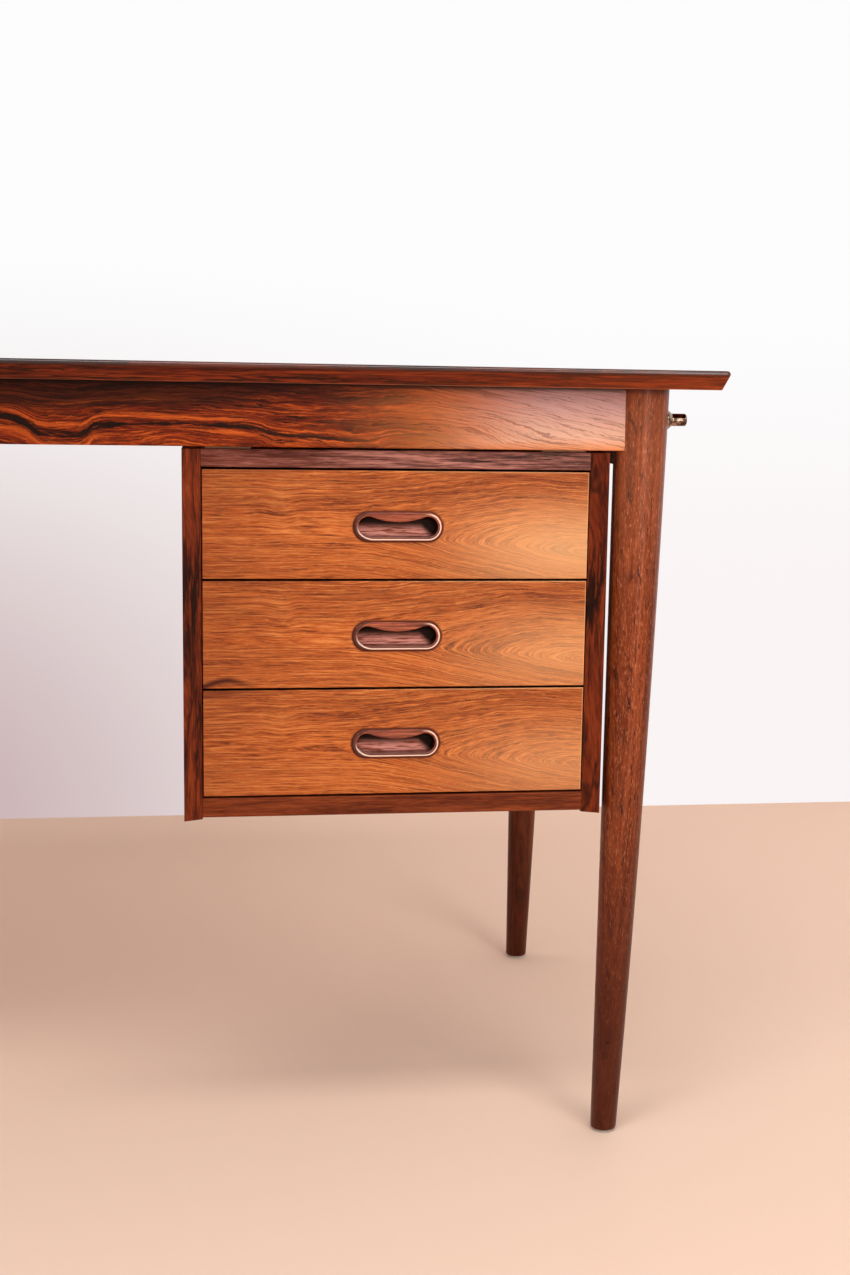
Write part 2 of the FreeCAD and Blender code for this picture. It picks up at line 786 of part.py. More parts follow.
def mouth_outline(sketch):
    """The opening of a pull: a slot whose upper edge sags between its round ends."""
    radius = number("pull_height") / 2 - number("pull_rim")
    reach = number("pull_width") / 2 - number("pull_rim") - radius
    lip = radius - number("pull_sag")
    sag = (reach**2 + lip**2 - radius**2) / (2 * number("pull_sag"))
    lean = math.atan2(sag + lip, reach)
    up = FreeCAD.Vector(0, 0, 1)
    ends = FreeCAD.Vector(-reach, 0, 0), FreeCAD.Vector(reach, 0, 0)
    crown = FreeCAD.Vector(0, sag + lip, 0)
    left = sketch.addGeometry(Part.ArcOfCircle(Part.Circle(ends[0], up, radius), lean, 3 * math.pi / 2))
    right = sketch.addGeometry(
        Part.ArcOfCircle(Part.Circle(ends[1], up, radius), -math.pi / 2, math.pi - lean)
    )
    top = sketch.addGeometry(
        Part.ArcOfCircle(Part.Circle(crown, up, sag), math.pi + lean, 2 * math.pi - lean)
    )
    low = sketch.addGeometry(
        Part.LineSegment(FreeCAD.Vector(-reach, -radius, 0), FreeCAD.Vector(reach, -radius, 0))
    )
    for first, first_end, second, second_end in (
        (left, 2, low, 1),
        (low, 2, right, 1),
        (right, 2, top, 2),
        (top, 1, left, 1),
    ):
        sketch.addConstraint(Sketcher.Constraint("Tangent", first, first_end, second, second_end))
    sketch.addConstraint(Sketcher.Constraint("Equal", left, right))
    place_point(sketch, left, 3, "0 - opening_centre", "0")
    place_point(sketch, right, 3, "opening_centre", "0")
    for arc, text, first in ((left, "opening_radius", radius), (top, "sag_radius", sag)):
        constraint = sketch.addConstraint(Sketcher.Constraint("Radius", arc, first))
        bind(sketch, {f"Constraints[{constraint}]": text})


def at_depth(depth):
    """A test for edges that lie at one distance behind the drawer's face."""
    play = number("glue_gap") / 10

    def chosen(edge):
        box = edge.BoundBox
        return abs(box.YMin - depth) < play and abs(box.YMax - depth) < play

    return chosen


def make_pull(label, x, z):
    """A solid pull: a raised rim, a sagging lip and a cup behind it for the fingers."""
    body = document.addObject("PartDesign::Body", label)
    outline = sketch_on(body, "XZ_Plane", "pull_proud")
    slot_outline(outline, "(pull_width - pull_height) / 2", "pull_height / 2")
    pad(body, outline, "front_thick + pull_proud", reverse=True)
    ease(body, "pull_edge_radius", at_depth(-number("pull_proud")))
    cup = sketch_on(body, "XZ_Plane", "pull_proud - pull_lip_thick")
    slot_outline(cup, "opening_centre", "opening_radius")
    pocket(body, cup, "pull_cup_depth - pull_lip_thick")
    ease(body, "pull_back_radius", at_depth(number("pull_cup_depth") - number("pull_proud")))
    mouth = sketch_on(body, "XZ_Plane", "pull_proud + overrun")
    mouth_outline(mouth)
    pocket(body, mouth, "pull_lip_thick + overrun")
    rim = (number("pull_height") - number("pull_rim")) / 2
    ahead = at_depth(-number("pull_proud"))
    ease(
        body,
        "pull_mouth_radius",
        lambda edge: ahead(edge) and edge.BoundBox.ZMax < rim and edge.BoundBox.ZMin > -rim,
    )
    bind(body, {"Placement.Base.x": x, "Placement.Base.y": "drawer_face", "Placement.Base.z": z})
    return node(body)


def make_front(label, x_ends, low, pull_x, pull_z):
    """A drawer front with a long hole for its pull and a groove for the drawer's bottom."""
    half_width = f"(({x_ends[1]}) - ({x_ends[0]})) / 2"
    below = "front_height / 2 - pull_drop"
    above = "front_height / 2 + pull_drop"
    corners = [
        (f"0 - {half_width}", f"0 - ({below})"),
        (half_width, f"0 - ({below})"),
        (half_width, above),
        (f"0 - {half_width}", above),
    ]
    body = prism(label + "_blank", "XZ_Plane", corners, "0 - front_thick", "0")
    ease(body, "front_arris_radius", at_depth(0))
    hole = sketch_on(body, "XZ_Plane", "overrun")
    slot_outline(hole, "(pull_width - pull_height) / 2", "pull_height / 2")
    pocket(body, hole, "front_thick + 2 * overrun")
    bind(body, {"Placement.Base.x": pull_x, "Placement.Base.y": "drawer_face", "Placement.Base.z": pull_z})
    groove_low = f"({low}) + drawer_side_lift + drawer_bottom_lift"
    groove = block(
        label + "_groove",
        (f"({x_ends[0]}) + drawer_side_thick - housing_depth",
         f"({x_ends[1]}) - drawer_side_thick + housing_depth"),
        ("drawer_front_back - housing_depth", "drawer_front_back + overrun"),
        (groove_low, f"{groove_low} + drawer_bottom_thick + 2 * housing_play"),
    )
    return node(cut(label, body, groove))


def make_drawer_side(label, wall, inward, low):
    """A drawer side: grooved outside for its runner and inside for the bottom."""
    flip = -1 if inward == "-" else 1

    def across(near, far):
        low_text, high_text = f"({wall}) + ({near})", f"({wall}) + ({far})"
        if flip > 0:
            return low_text, high_text
        return f"({wall}) - ({far})", f"({wall}) - ({near})"

    top = f"{low} + drawer_side_height"
    blank = block(
        label + "_blank",
        across("drawer_side_gap", "drawer_side_gap + drawer_side_thick"),
        ("drawer_front_back", "drawer_end"),
        (low, top),
    )
    track_low = f"{low} + runner_lift - runner_play"
    track = block(
        label + "_track",
        across("0 - overrun", "drawer_side_gap + runner_bite + runner_play"),
        ("drawer_front_back - overrun", "drawer_end + overrun"),
        (track_low, f"{track_low} + runner_height + 2 * runner_play"),
    )
    groove_low = f"{low} + drawer_bottom_lift"
    inner = "drawer_side_gap + drawer_side_thick"
    groove = block(
        label + "_groove",
        across(f"{inner} - housing_depth", f"{inner} + overrun"),
        ("drawer_front_back - overrun", "drawer_end + overrun"),
        (groove_low, f"{groove_low} + drawer_bottom_thick + 2 * housing_play"),
    )
    return cut(label, cut(label + "_tracked", blank, track), groove)


def make_drawer(side_name, side, level):
    """One drawer: front, pull, carcass of two sides and a back, and bottom."""
    name = f"{side_name}_drawer_{level}"
    walls = span(side, "bay_inner", "bay_outer")
    low = f"bay_top - {level} * front_pitch"
    x_ends = (f"({walls[0]}) + front_side_gap", f"({walls[1]}) - front_side_gap")
    pull_x = signed(side, "bay_middle")
    pull_z = f"{low} + front_height / 2 - pull_drop"
    make_front(f"{name}_front", x_ends, low, pull_x, pull_z)
    make_pull(f"{name}_pull", pull_x, pull_z)
    base = f"{low} + drawer_side_lift"
    left = make_drawer_side(f"{name}_left_side", walls[0], "+", base)
    right = make_drawer_side(f"{name}_right_side", walls[1], "-", base)
    reach = "drawer_side_gap + drawer_side_thick"
    floor_low = f"{base} + drawer_bottom_lift + housing_play"
    back = block(
        f"{name}_back",
        (f"({walls[0]}) + {reach}", f"({walls[1]}) - ({reach})"),
        ("drawer_end - drawer_back_thick", "drawer_end"),
        (f"{floor_low} + drawer_bottom_thick", f"{base} + drawer_side_height - drawer_back_drop"),
    )
    node(group(f"{name}_carcass", [left, right, back]))
    inset = f"{reach} - housing_depth + housing_play"
    node(block(
        f"{name}_bottom",
        (f"({walls[0]}) + {inset}", f"({walls[1]}) - ({inset})"),
        ("drawer_front_back - housing_depth + housing_play", "drawer_end"),
        (floor_low, f"{floor_low} + drawer_bottom_thick"),
    ))


for side_name, side in LEG_SIDES:
    for level in (1, 2, 3):
        make_drawer(side_name, side, level)

# Rods, bushes, guides and pegs


def make_rod(label, end):
    """A brass rod with a stop at its inner end, drawn out of the right leg."""
    length = "(rod_tip - rod_end)"
    body = turned(label, [
        ("0", "0"),
        (length, "0"),
        (length, "rod_radius"),
        ("stop_length", "rod_radius"),
        ("stop_length", "rod_radius + stop_step"),
        ("0", "rod_radius + stop_step"),
    ])
    document.recompute()
    tip = body.Shape.BoundBox.XMax
    ease(body, "rod_tip_radius", lambda edge: edge.BoundBox.XMin > tip - number("glue_gap"))
    bind(body, {
        "Placement.Base.x": "rod_end",
        "Placement.Base.y": signed(end, "rod_y"),
        "Placement.Base.z": "rod_z",
    })
    return node(body)


def rosette_points():
    """Outline of the flare round a rod or peg, from inside the leg to the flare's lip."""
    start = "bush_inset - rosette_seat"
    return [
        ("0", "bush_radius"),
        (start, "bush_radius"),
        (start, "rosette_radius"),
        ("bush_inset", "rosette_radius"),
        ("bush_inset + rosette_height", "rod_radius + rosette_lip"),
    ]


def seat_in_leg(label, blank, side, end):
    """Place a turned fitting along the bore of a leg and shape it to the leg's face."""
    if side < 0:
        blank.Placement.Rotation = FreeCAD.Rotation(FreeCAD.Vector(0, 0, 1), 180)
    bind(blank, {
        "Placement.Base.x": signed(side, "leg_outer_x - bush_inset"),
        "Placement.Base.y": signed(end, "rod_y"),
        "Placement.Base.z": "rod_z",
    })
    return cut(label, blank, legs[side, end])


def make_bush(label, end):
    """A brass bush in the right leg, with a flared rosette outside."""
    bore = "rod_radius + bore_play"
    points = [("0", bore)] + rosette_points() + [("bush_inset + rosette_height", bore)]
    return seat_in_leg(label, turned(label + "_blank", points), 1, end)


def make_peg(label, end):
    """A fixed brass peg in the left leg that looks like the end of a rod."""
    tip = "bush_inset + rod_reach"
    points = [("0", "0")] + rosette_points()
    points += [("bush_inset + rosette_height", "rod_radius"), (tip, "rod_radius"), (tip, "0")]
    blank = turned(label + "_blank", points)
    document.recompute()
    end_x = blank.Shape.BoundBox.XMax
    ease(blank, "rod_tip_radius", lambda edge: edge.BoundBox.XMin > end_x - number("glue_gap"))
    return seat_in_leg(label, blank, -1, end)


def make_guide(label, end):
    """A bored block behind the apron that guides the inner part of a rod."""
    blank = block(
        label + "_blank",
        ("guide_inner", "guide_inner + guide_length"),
        span(end, "apron_back - guide_width", "apron_back"),
        ("rod_z - guide_height / 2", "rod_z + guide_height / 2"),
    )
    bore = document.addObject("Part::Cylinder", label + "_bore")
    bore.Placement.Rotation = FreeCAD.Rotation(FreeCAD.Vector(0, 1, 0), 90)
    bind(bore, {
        "Radius": "rod_radius + bore_play",
        "Height": "guide_length + 2 * overrun",
        "Placement.Base.x": "guide_inner - overrun",
        "Placement.Base.y": signed(end, "rod_y"),
        "Placement.Base.z": "rod_z",
    })
    return cut(label, blank, bore)


for end_name, end in LEG_ENDS:
    make_rod(f"{end_name}_rod", end)
node(group("rod_bushes", [make_bush(f"{name}_bush", end) for name, end in LEG_ENDS]))
node(group("rod_guides", [make_guide(f"{name}_guide", end) for name, end in LEG_ENDS]))
node(group("hanging_pegs", [make_peg(f"{name}_peg", end) for name, end in LEG_ENDS]))

# Leaf, hanging on the pegs with its upper face outwards and its joining edge up


def make_batten(label, end):
    """A batten on the leaf's underside, with a stepped hole for a peg."""
    blank = block(
        label + "_blank",
        ("0 - leaf_under", "0 - batten_face"),
        span(end, "rod_y - batten_width / 2", "rod_y + batten_width / 2"),
        ("leaf_top - batten_inset - batten_length", "leaf_top - batten_inset"),
    )
    hole = document.addObject("Part::Cylinder", label + "_hole")
    mouth = document.addObject("Part::Cylinder", label + "_mouth")
    place = {"Placement.Base.y": signed(end, "rod_y"), "Placement.Base.z": "rod_z"}
    for tool in (hole, mouth):
        tool.Placement.Rotation = FreeCAD.Rotation(FreeCAD.Vector(0, 1, 0), -90)
        bind(tool, place)
    bind(hole, {
        "Radius": "rod_radius + peg_hole_play",
        "Height": "batten_thick + 2 * overrun",
        "Placement.Base.x": "overrun - batten_face",
    })
    bind(mouth, {
        "Radius": "rosette_radius + rosette_hole_play",
        "Height": "rosette_height + rosette_hole_play + overrun",
        "Placement.Base.x": "overrun - batten_face",
    })
    return cut(label, cut(label + "_holed", blank, hole), mouth)


def make_leaf():
    """The leaf's panel, lippings, battens and screws."""
    half_y = "desk_depth / 2"
    under_y = ("undercut - desk_depth / 2", "desk_depth / 2 - undercut")
    over_y = ("0 - desk_depth / 2", "desk_depth / 2")
    slab = bevelled_slab(
        "leaf_blank",
        "YZ_Plane",
        "0 - leaf_under",
        "0 - leaf_over",
        [under_y, ("leaf_foot + undercut", "leaf_top")],
        [over_y, ("leaf_foot", "leaf_top - undercut")],
        reverse=True,
    )
    document.recompute()
    box = slab.Shape.BoundBox
    outer = box.XMin + number("glue_gap")
    joint = box.ZMax - 1.5 * number("undercut")
    ease(slab, "nose_radius", lambda edge: edge.BoundBox.XMax < outer and edge_middle(edge).z < joint)
    core_y = (f"lipping_width - {half_y}", f"{half_y} - lipping_width")
    core_z = ("leaf_foot + lipping_width", "leaf_top - lipping_width")
    core = block("leaf_core", ("0 - leaf_over", "0 - leaf_under"), core_y, core_z)
    room = block(
        "leaf_core_room", ("0 - leaf_over - overrun", "overrun - leaf_under"), core_y, core_z
    )
    ring = cut("leaf_ring", slab, room)
    ends = ("leaf_foot", "leaf_top")
    limits = ("0 - leaf_over - overrun", "overrun - leaf_under")
    lippings = mitred("leaf_lippings", ring, "YZ_Plane", half_y, *ends, *limits)
    screws = []
    for end_name, end in LEG_ENDS:
        for place in (1, 2, 3, 4):
            z = f"leaf_top - batten_inset - batten_length * (2 * {place} - 1) / 8"
            name = f"{end_name}_leaf_screw_{place}"
            screws.append(wood_screw(name, "0 - batten_face", signed(end, "rod_y"), z, turn=True))
    screw_group = node(group("leaf_screws", screws))
    node(cut("leaf_panel", core, screw_group))
    node(lippings)
    battens = group("leaf_batten_blanks", [make_batten(f"{name}_batten", end) for name, end in LEG_ENDS])
    node(cut("leaf_battens", battens, screw_group))


make_leaf()

document.recompute()
for thing in document.Objects:
    if "Invalid" in thing.State or "Error" in thing.State:
        raise RuntimeError(f"{thing.Name} failed: {thing.State}")
for piece in nodes:
    if piece.Shape.isNull() or not piece.Shape.isValid() or not piece.Shape.Solids:
        raise RuntimeError(f"{piece.Name} has no valid solid")

os.makedirs("parts", exist_ok=True)
for piece in nodes:
    piece.Shape.exportStep(f"parts/{piece.Label}.step")
print(len(nodes), "nodes")
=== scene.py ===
"""Dresses an extendable rosewood writing desk: woods, brass, screws, floor, lamps and camera."""

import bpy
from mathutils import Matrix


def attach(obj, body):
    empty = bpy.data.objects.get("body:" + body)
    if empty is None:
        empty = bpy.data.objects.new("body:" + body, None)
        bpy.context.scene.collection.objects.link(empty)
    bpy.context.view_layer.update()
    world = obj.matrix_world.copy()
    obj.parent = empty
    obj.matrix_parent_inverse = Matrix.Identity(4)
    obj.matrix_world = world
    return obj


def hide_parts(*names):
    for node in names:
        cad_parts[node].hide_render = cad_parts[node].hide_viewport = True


bl_info = {
    "name": "Extendable Desk",
    "version": (1, 0, 0),
    "blender": (4, 5, 0),
    "location": "3D View > Sidebar > Desk",
    "description": "Woods, brass, screws and stage for an extendable writing desk",
    "category": "Object",
}

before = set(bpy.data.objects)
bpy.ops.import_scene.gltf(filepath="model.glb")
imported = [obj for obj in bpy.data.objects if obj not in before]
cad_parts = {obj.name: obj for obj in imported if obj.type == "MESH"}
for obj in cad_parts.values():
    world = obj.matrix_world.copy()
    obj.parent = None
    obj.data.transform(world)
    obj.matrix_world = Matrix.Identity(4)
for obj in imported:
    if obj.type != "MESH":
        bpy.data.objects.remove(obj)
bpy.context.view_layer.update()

import math

import bpy
from bpy.props import FloatProperty, FloatVectorProperty, IntProperty, PointerProperty
from mathutils import Matrix, Vector

# Places on the desk, in metres, that the woods' marks follow.
FRONT_FACE_Y = -0.2635
FRONT_NEAR_X = 0.2874
FRONT_FAR_X = 0.6326
FEATHER_X = 0.357
PULL_FACE_Y = -0.2657
NAIL_X = 0.6677
NAIL_Z = 0.0938
APRON_FOOT = 0.6576
APRON_HEAD = 0.7126
APRON_REACH = 0.66
APRON_LINE_RISE = 0.028
APRON_LINE = (
    (0.000, 0.62), (0.070, 0.80), (0.140, 0.66), (0.210, 0.30), (0.290, 0.52), (0.360, 0.74),
    (0.440, 0.60), (0.520, 0.82), (0.590, 0.84), (0.617, 0.30), (0.635, 0.28), (0.650, 0.62),
    (0.690, 0.68), (0.745, 0.64), (0.765, 0.42), (0.806, 0.28), (0.820, 0.22), (0.848, 0.44),
    (0.895, 0.42), (0.926, 0.14), (1.000, 0.10),
)

# Colours that nobody would change, as a shader takes them.
# The first is painted shadow in a pull's cup, under its lip.
CUP_PAINTED_SHADOW = (0.001, 0.0005, 0.0005)
NAIL_BLACK = (0.004, 0.002, 0.002)
WALL_WHITE = (0.98, 0.98, 0.98)

# What like pieces of rosewood share.
VENEER = dict(
    wander=0.05, waves=(1.6, 5.0), pitches=(0.040, 0.012, 0.0030, 0.0010),
    paces=(1.2, 3.0, 8.0, 40.0), streaks=0.8, roughness=0.48, gloss=0.12)
LIPPING = dict(wander=0.008, waves=(2.4, 18.0), streaks=0.85)
LEG = dict(pith=(0.62, -0.35), wander=0.014)
BOARD = dict(wander=0.014, waves=(3.0, 22.0))

# A screw's face is found by its rim: how flat it is, and how far across at most.
FACE_SLACK = 0.0001
RIM_REACH = 0.012
FEWEST_FACES = 100
HEAD_SIDES = 28
SHANK_SIDES = 20
SCREW_LENGTHS = (
    "Head Radius", "Head Height", "Shank Radius", "Screw Length", "Slot Width", "Slot Depth")
SCREW_GROUPS = (
    # name, body, node, axis of the screws, heads at the high end, turn
    ("top_wood_screws", "desk", "top_screws", 2, False, (0.0, 0.0, 0.0)),
    ("pedestal_wood_screws", "desk", "pedestal_screws", 2, False, (0.0, 0.0, 0.0)),
    ("leaf_wood_screws", "leaf", "leaf_screws", 0, True, (0.0, -math.pi / 2, 0.0)),
)

STAGE_REACH = 9.0
WALL_HEIGHT = 6.0
DESK_MIDDLE = (0.30, -0.10, 0.50)
LAMPS = (
    # name, size, place, what it faces
    ("window", (1.76, 1.76), (2.54, -4.1, 2.50), DESK_MIDDLE),
    ("fill", (2.9, 1.6), (-3.06, -4.1, 3.38), DESK_MIDDLE),
    ("sill", (0.5, 1.0), (1.20, -2.6, 0.62), (0.60, -0.25, 0.60)),
    ("ceiling", (2.4, 0.5), (0.2, -1.3, 2.7), (0.2, -0.6, 0.0)),
)
CAMERA_PLACE = (0.305168, -1.722216, 0.720965)
CAMERA_TURN = (0.1446357, 0.1492248, 0.0173330)
CAMERA_SHIFT = (-0.02769, -0.01002)
CAMERA_SENSOR = 36.0


def colour(red, green, blue):
    """A screen colour, 0 to 255 a channel, as the linear colour that a shader takes."""
    def channel(value):
        share = value / 255
        return share / 12.92 if share <= 0.04045 else ((share + 0.055) / 1.055) ** 2.4
    return (channel(red), channel(green), channel(blue))


def swatch(name, description, *screen):
    """A colour that the user may change."""
    return FloatVectorProperty(
        name=name, description=description, subtype="COLOR", size=3, min=0.0, max=1.0,
        default=colour(*screen))


def length(name, description, metres):
    """A length that the user may change."""
    return FloatProperty(
        name=name, description=description, subtype="DISTANCE", unit="LENGTH", min=0.0,
        precision=5, default=metres)


def amount(name, description, value):
    """A plain number that the user may change."""
    return FloatProperty(name=name, description=description, min=0.0, default=value)


class DeskWoodColours(bpy.types.PropertyGroup):
    """Light, middle and dark tone of each wood."""

    # Also the painted highlight on the fronts' arches and arrises.
    front_pale_and_highlight: swatch("Front pale", "Heart of the arches of the drawer fronts", 226, 174, 122)
    front_light: swatch("Front light", "Palest lines of the drawer fronts", 206, 124, 64)
    front_middle: swatch("Front middle", "Body of the drawer fronts", 172, 84, 34)
    front_dark: swatch("Front dark", "Darkest lines of the drawer fronts", 92, 38, 20)
    # The pale and grey right end is partly pale wood and partly a painted highlight of a lamp's
    # glare.
    apron_pale_and_glare: swatch("Apron pale", "Paler right end of the aprons", 230, 180, 152)
    apron_glare_grey: swatch("Apron grey", "Greyer upper corner of the aprons' right end", 192, 150, 148)
    apron_glow: swatch("Apron glow", "Orange wood round the aprons' pale end", 220, 130, 70)
    apron_light: swatch("Apron light", "Palest flame of the aprons", 208, 94, 32)
    apron_middle: swatch("Apron middle", "Body of the aprons", 114, 34, 7)
    apron_dark: swatch("Apron dark", "Darkest bands of the aprons", 50, 13, 4)
    lipping_light: swatch("Lipping light", "Palest lines of the lippings", 134, 50, 16)
    lipping_middle: swatch("Lipping middle", "Body of the lippings", 92, 25, 6)
    lipping_dark: swatch("Lipping dark", "Darkest lines of the lippings", 28, 6, 3)
    case_light: swatch("Case light", "Palest bands of the pedestals", 130, 53, 22)
    case_middle: swatch("Case middle", "Body of the pedestals", 92, 31, 11)
    case_dark: swatch("Case dark", "Darkest bands of the pedestals", 26, 7, 4)
    # The rail tones are partly the rails' own colour and partly painted reflection: their
    # purple-grey cast stands for the lamps' glare.
    rail_light: swatch("Rail light", "Palest bands of the pedestals' rails", 182, 120, 106)
    rail_middle: swatch("Rail middle", "Body of the pedestals' rails", 118, 67, 58)
    rail_dark: swatch("Rail dark", "Darkest bands of the pedestals' rails", 56, 22, 18)
    leg_light: swatch("Leg light", "Palest lines of the legs", 154, 73, 35)
    leg_middle: swatch("Leg middle", "Body of the legs", 111, 44, 17)
    leg_dark: swatch("Leg dark", "Darkest lines of the legs", 58, 17, 6)
    # Also the painted light on the legs' upper part and the painted highlight on the lippings'
    # lower arris.
    leg_fleck_and_highlight: swatch("Leg fleck", "Pale flecks of the legs", 206, 128, 88)
    pull_light: swatch("Pull light", "Palest lines of the pulls", 196, 108, 68)
    pull_middle: swatch("Pull middle", "Body of the pulls", 138, 62, 40)
    pull_dark: swatch("Pull dark", "Darkest lines of the pulls", 64, 22, 14)
    # Painted light: the lit floor of a pull's cup, and painted highlights along a pull's rim.
    pull_painted_floor_light: swatch("Pull rubbed", "Rubbed floor of a pull's cup", 236, 158, 142)
    pull_painted_highlight: swatch("Pull worn", "Worn lines of a pull's rim", 250, 212, 190)
    # Also the black of the painted shade in the gaps between drawer fronts and of the painted
    # shadow just under the top on the aprons.
    streak: swatch("Streak", "Black streaks of every rosewood", 12, 4, 3)
    maple: swatch("Maple", "Drawer sides and bottoms", 219, 184, 138)
    beech: swatch("Beech", "Blocks, bearers, guides and runners", 196, 150, 108)
    plywood: swatch("Plywood", "Backs of the pedestals", 178, 130, 88)


class DeskMetalColours(bpy.types.PropertyGroup):
    """Tones of the metal and nylon pieces."""

    brass: swatch("Brass", "Aged brass of rods, bushes and pegs", 168, 144, 122)
    tarnish: swatch("Tarnish", "Dull film in the turned grooves", 62, 44, 38)
    steel: swatch("Steel", "Screws", 150, 148, 144)
    nylon: swatch("Nylon", "Foot glides", 196, 190, 178)


class DeskSizes(bpy.types.PropertyGroup):
    """Sizes of the small pieces and of the woods' figure."""

    head_radius: length("Head radius", "Radius of a screw's head", 0.004)
    head_height: length("Head height", "Depth of a screw's countersunk head", 0.003)
    shank_radius: length("Shank radius", "Radius of a screw's shank", 0.002)
    screw_length: length("Screw length", "Whole length of a screw", 0.030)
    slot_width: length("Slot width", "Width of a screw's slot", 0.0009)
    slot_depth: length("Slot depth", "Depth of a screw's slot", 0.0010)
    slot_seed: IntProperty(
        name="Slot seed", description="Seed of the slots' turns", min=0, default=5)
    front_pitch: length("Front pitch", "Height from one drawer to the next", 0.0985)
    front_height: length("Front height", "Height of a drawer front", 0.0965)
    front_low: length("Front low", "Lower edge of the lowest drawer front", 0.3441)
    pull_middle: length("Pull middle", "Distance of a pull's middle from the desk's middle", 0.4602)
    pull_straight: length("Pull straight", "Half the straight part of a pull's rim", 0.02675)
    pull_round: length("Pull round", "Radius of the ends of a pull's rim", 0.0135)
    pull_height: length("Pull height", "Height of a pull's middle in its drawer front", 0.04675)
    nail_hole: length("Nail hole", "Radius of the hole low on a leg", 0.0013)


class DeskStage(bpy.types.PropertyGroup):
    """Floor, wall, lamps and camera."""

    floor: swatch("Floor", "Plain pale floor", 228, 197, 176)
    wall: swatch("Wall", "Plain pale wall", 250, 244, 244)
    # Painted shade at the foot of the wall, left of the desk.
    wall_low_shade: swatch("Wall low", "Foot of the wall, left of the desk", 196, 170, 172)
    window_power: amount("Window", "Power of the lamp at the front right", 55.0)
    sill_power: amount("Sill", "Power of the low lamp at the front right", 8.0)
    fill_power: amount("Fill", "Power of the lamp at the front left", 60.0)
    ceiling_power: amount("Ceiling", "Power of the lamp overhead", 29.0)
    world_strength: amount("World", "Light from all round", 0.74)
    wall_y: length("Wall distance", "Distance of the wall behind the desk's middle", 0.95)
    lens: amount("Lens", "Focal length of the camera in millimetres", 46.544)


class Reading:
    """A number or colour that changes over a surface; a sum of readings adds the nodes for it."""

    def __init__(self, nodes, socket):
        self.nodes = nodes
        self.socket = socket

    def __add__(self, other):
        return self.nodes.math("ADD", self, other)

    def __sub__(self, other):
        return self.nodes.math("SUBTRACT", self, other)

    def __mul__(self, other):
        return self.nodes.math("MULTIPLY", self, other)

    def __truediv__(self, other):
        return self.nodes.math("DIVIDE", self, other)

    def __mod__(self, other):
        return self.nodes.math("FLOORED_MODULO", self, other)

    def __pow__(self, other):
        return self.nodes.math("POWER", self, other)

    def __abs__(self):
        return self.nodes.math("ABSOLUTE", self)

    def at_least(self, other):
        return self.nodes.math("MAXIMUM", self, other)

    def diagonal(self, other):
        """Length of the diagonal of two lengths."""
        return self.nodes.math("SQRT", self ** 2.0 + other ** 2.0)

    def between(self, low, high, start=0.0, end=1.0, smooth=True):
        """The number's place from low to high, smoothly, as a number from start to end."""
        return self.nodes.reading(
            "ShaderNodeMapRange",
            {"Value": self, "From Min": low, "From Max": high, "To Min": start, "To Max": end},
            interpolation_type="SMOOTHSTEP" if smooth else "LINEAR")

    def hill(self, middle, width):
        """A smooth hill from 0 to 1 and back, with its top at the middle."""
        return abs(self - middle).between(0.0, width, 1.0, 0.0)

    def under(self, amount, above, kind="MIX"):
        """This colour with some of another laid over it."""
        return self.nodes.blend(amount, self, above, kind)


class Nodes:
    """A node tree being filled, with short calls that add its nodes."""

    def __init__(self, tree):
        self.tree = tree
        tree.nodes.clear()

    def node(self, kind, inputs=None, **settings):
        made = self.tree.nodes.new(kind)
        for name, value in settings.items():
            setattr(made, name, value)
        for name, value in (inputs or {}).items():
            self.feed(made.inputs[name], value)
        return made

    def reading(self, kind, inputs=None, output=0, **settings):
        """One output of a new node."""
        return Reading(self, self.node(kind, inputs, **settings).outputs[output])

    def feed(self, socket, value):
        """Links another node's output to a socket, or sets the socket to a number or colour."""
        value = getattr(value, "socket", value)
        if isinstance(value, bpy.types.NodeSocket):
            self.tree.links.new(value, socket)
        elif socket.type == "RGBA":
            socket.default_value = (*value[:3], 1.0)
        else:
            socket.default_value = value

    def math(self, operation, *values):
        return self.reading("ShaderNodeMath", dict(enumerate(values)), operation=operation)

    def parts(self, vector):
        """The three coordinates of a vector."""
        made = self.node("ShaderNodeSeparateXYZ", {"Vector": vector})
        return [Reading(self, output) for output in made.outputs]

    def join(self, x, y, z):
        """A vector from three coordinates."""
        return self.reading("ShaderNodeCombineXYZ", {"X": x, "Y": y, "Z": z})

    def blend(self, amount, below, above, kind="MIX"):
        """Two colours laid over each other, by the sockets that a Mix node has for colours."""
        inputs = {0: amount, 6: below, 7: above}
        return self.reading("ShaderNodeMix", inputs, 2, data_type="RGBA", blend_type=kind)


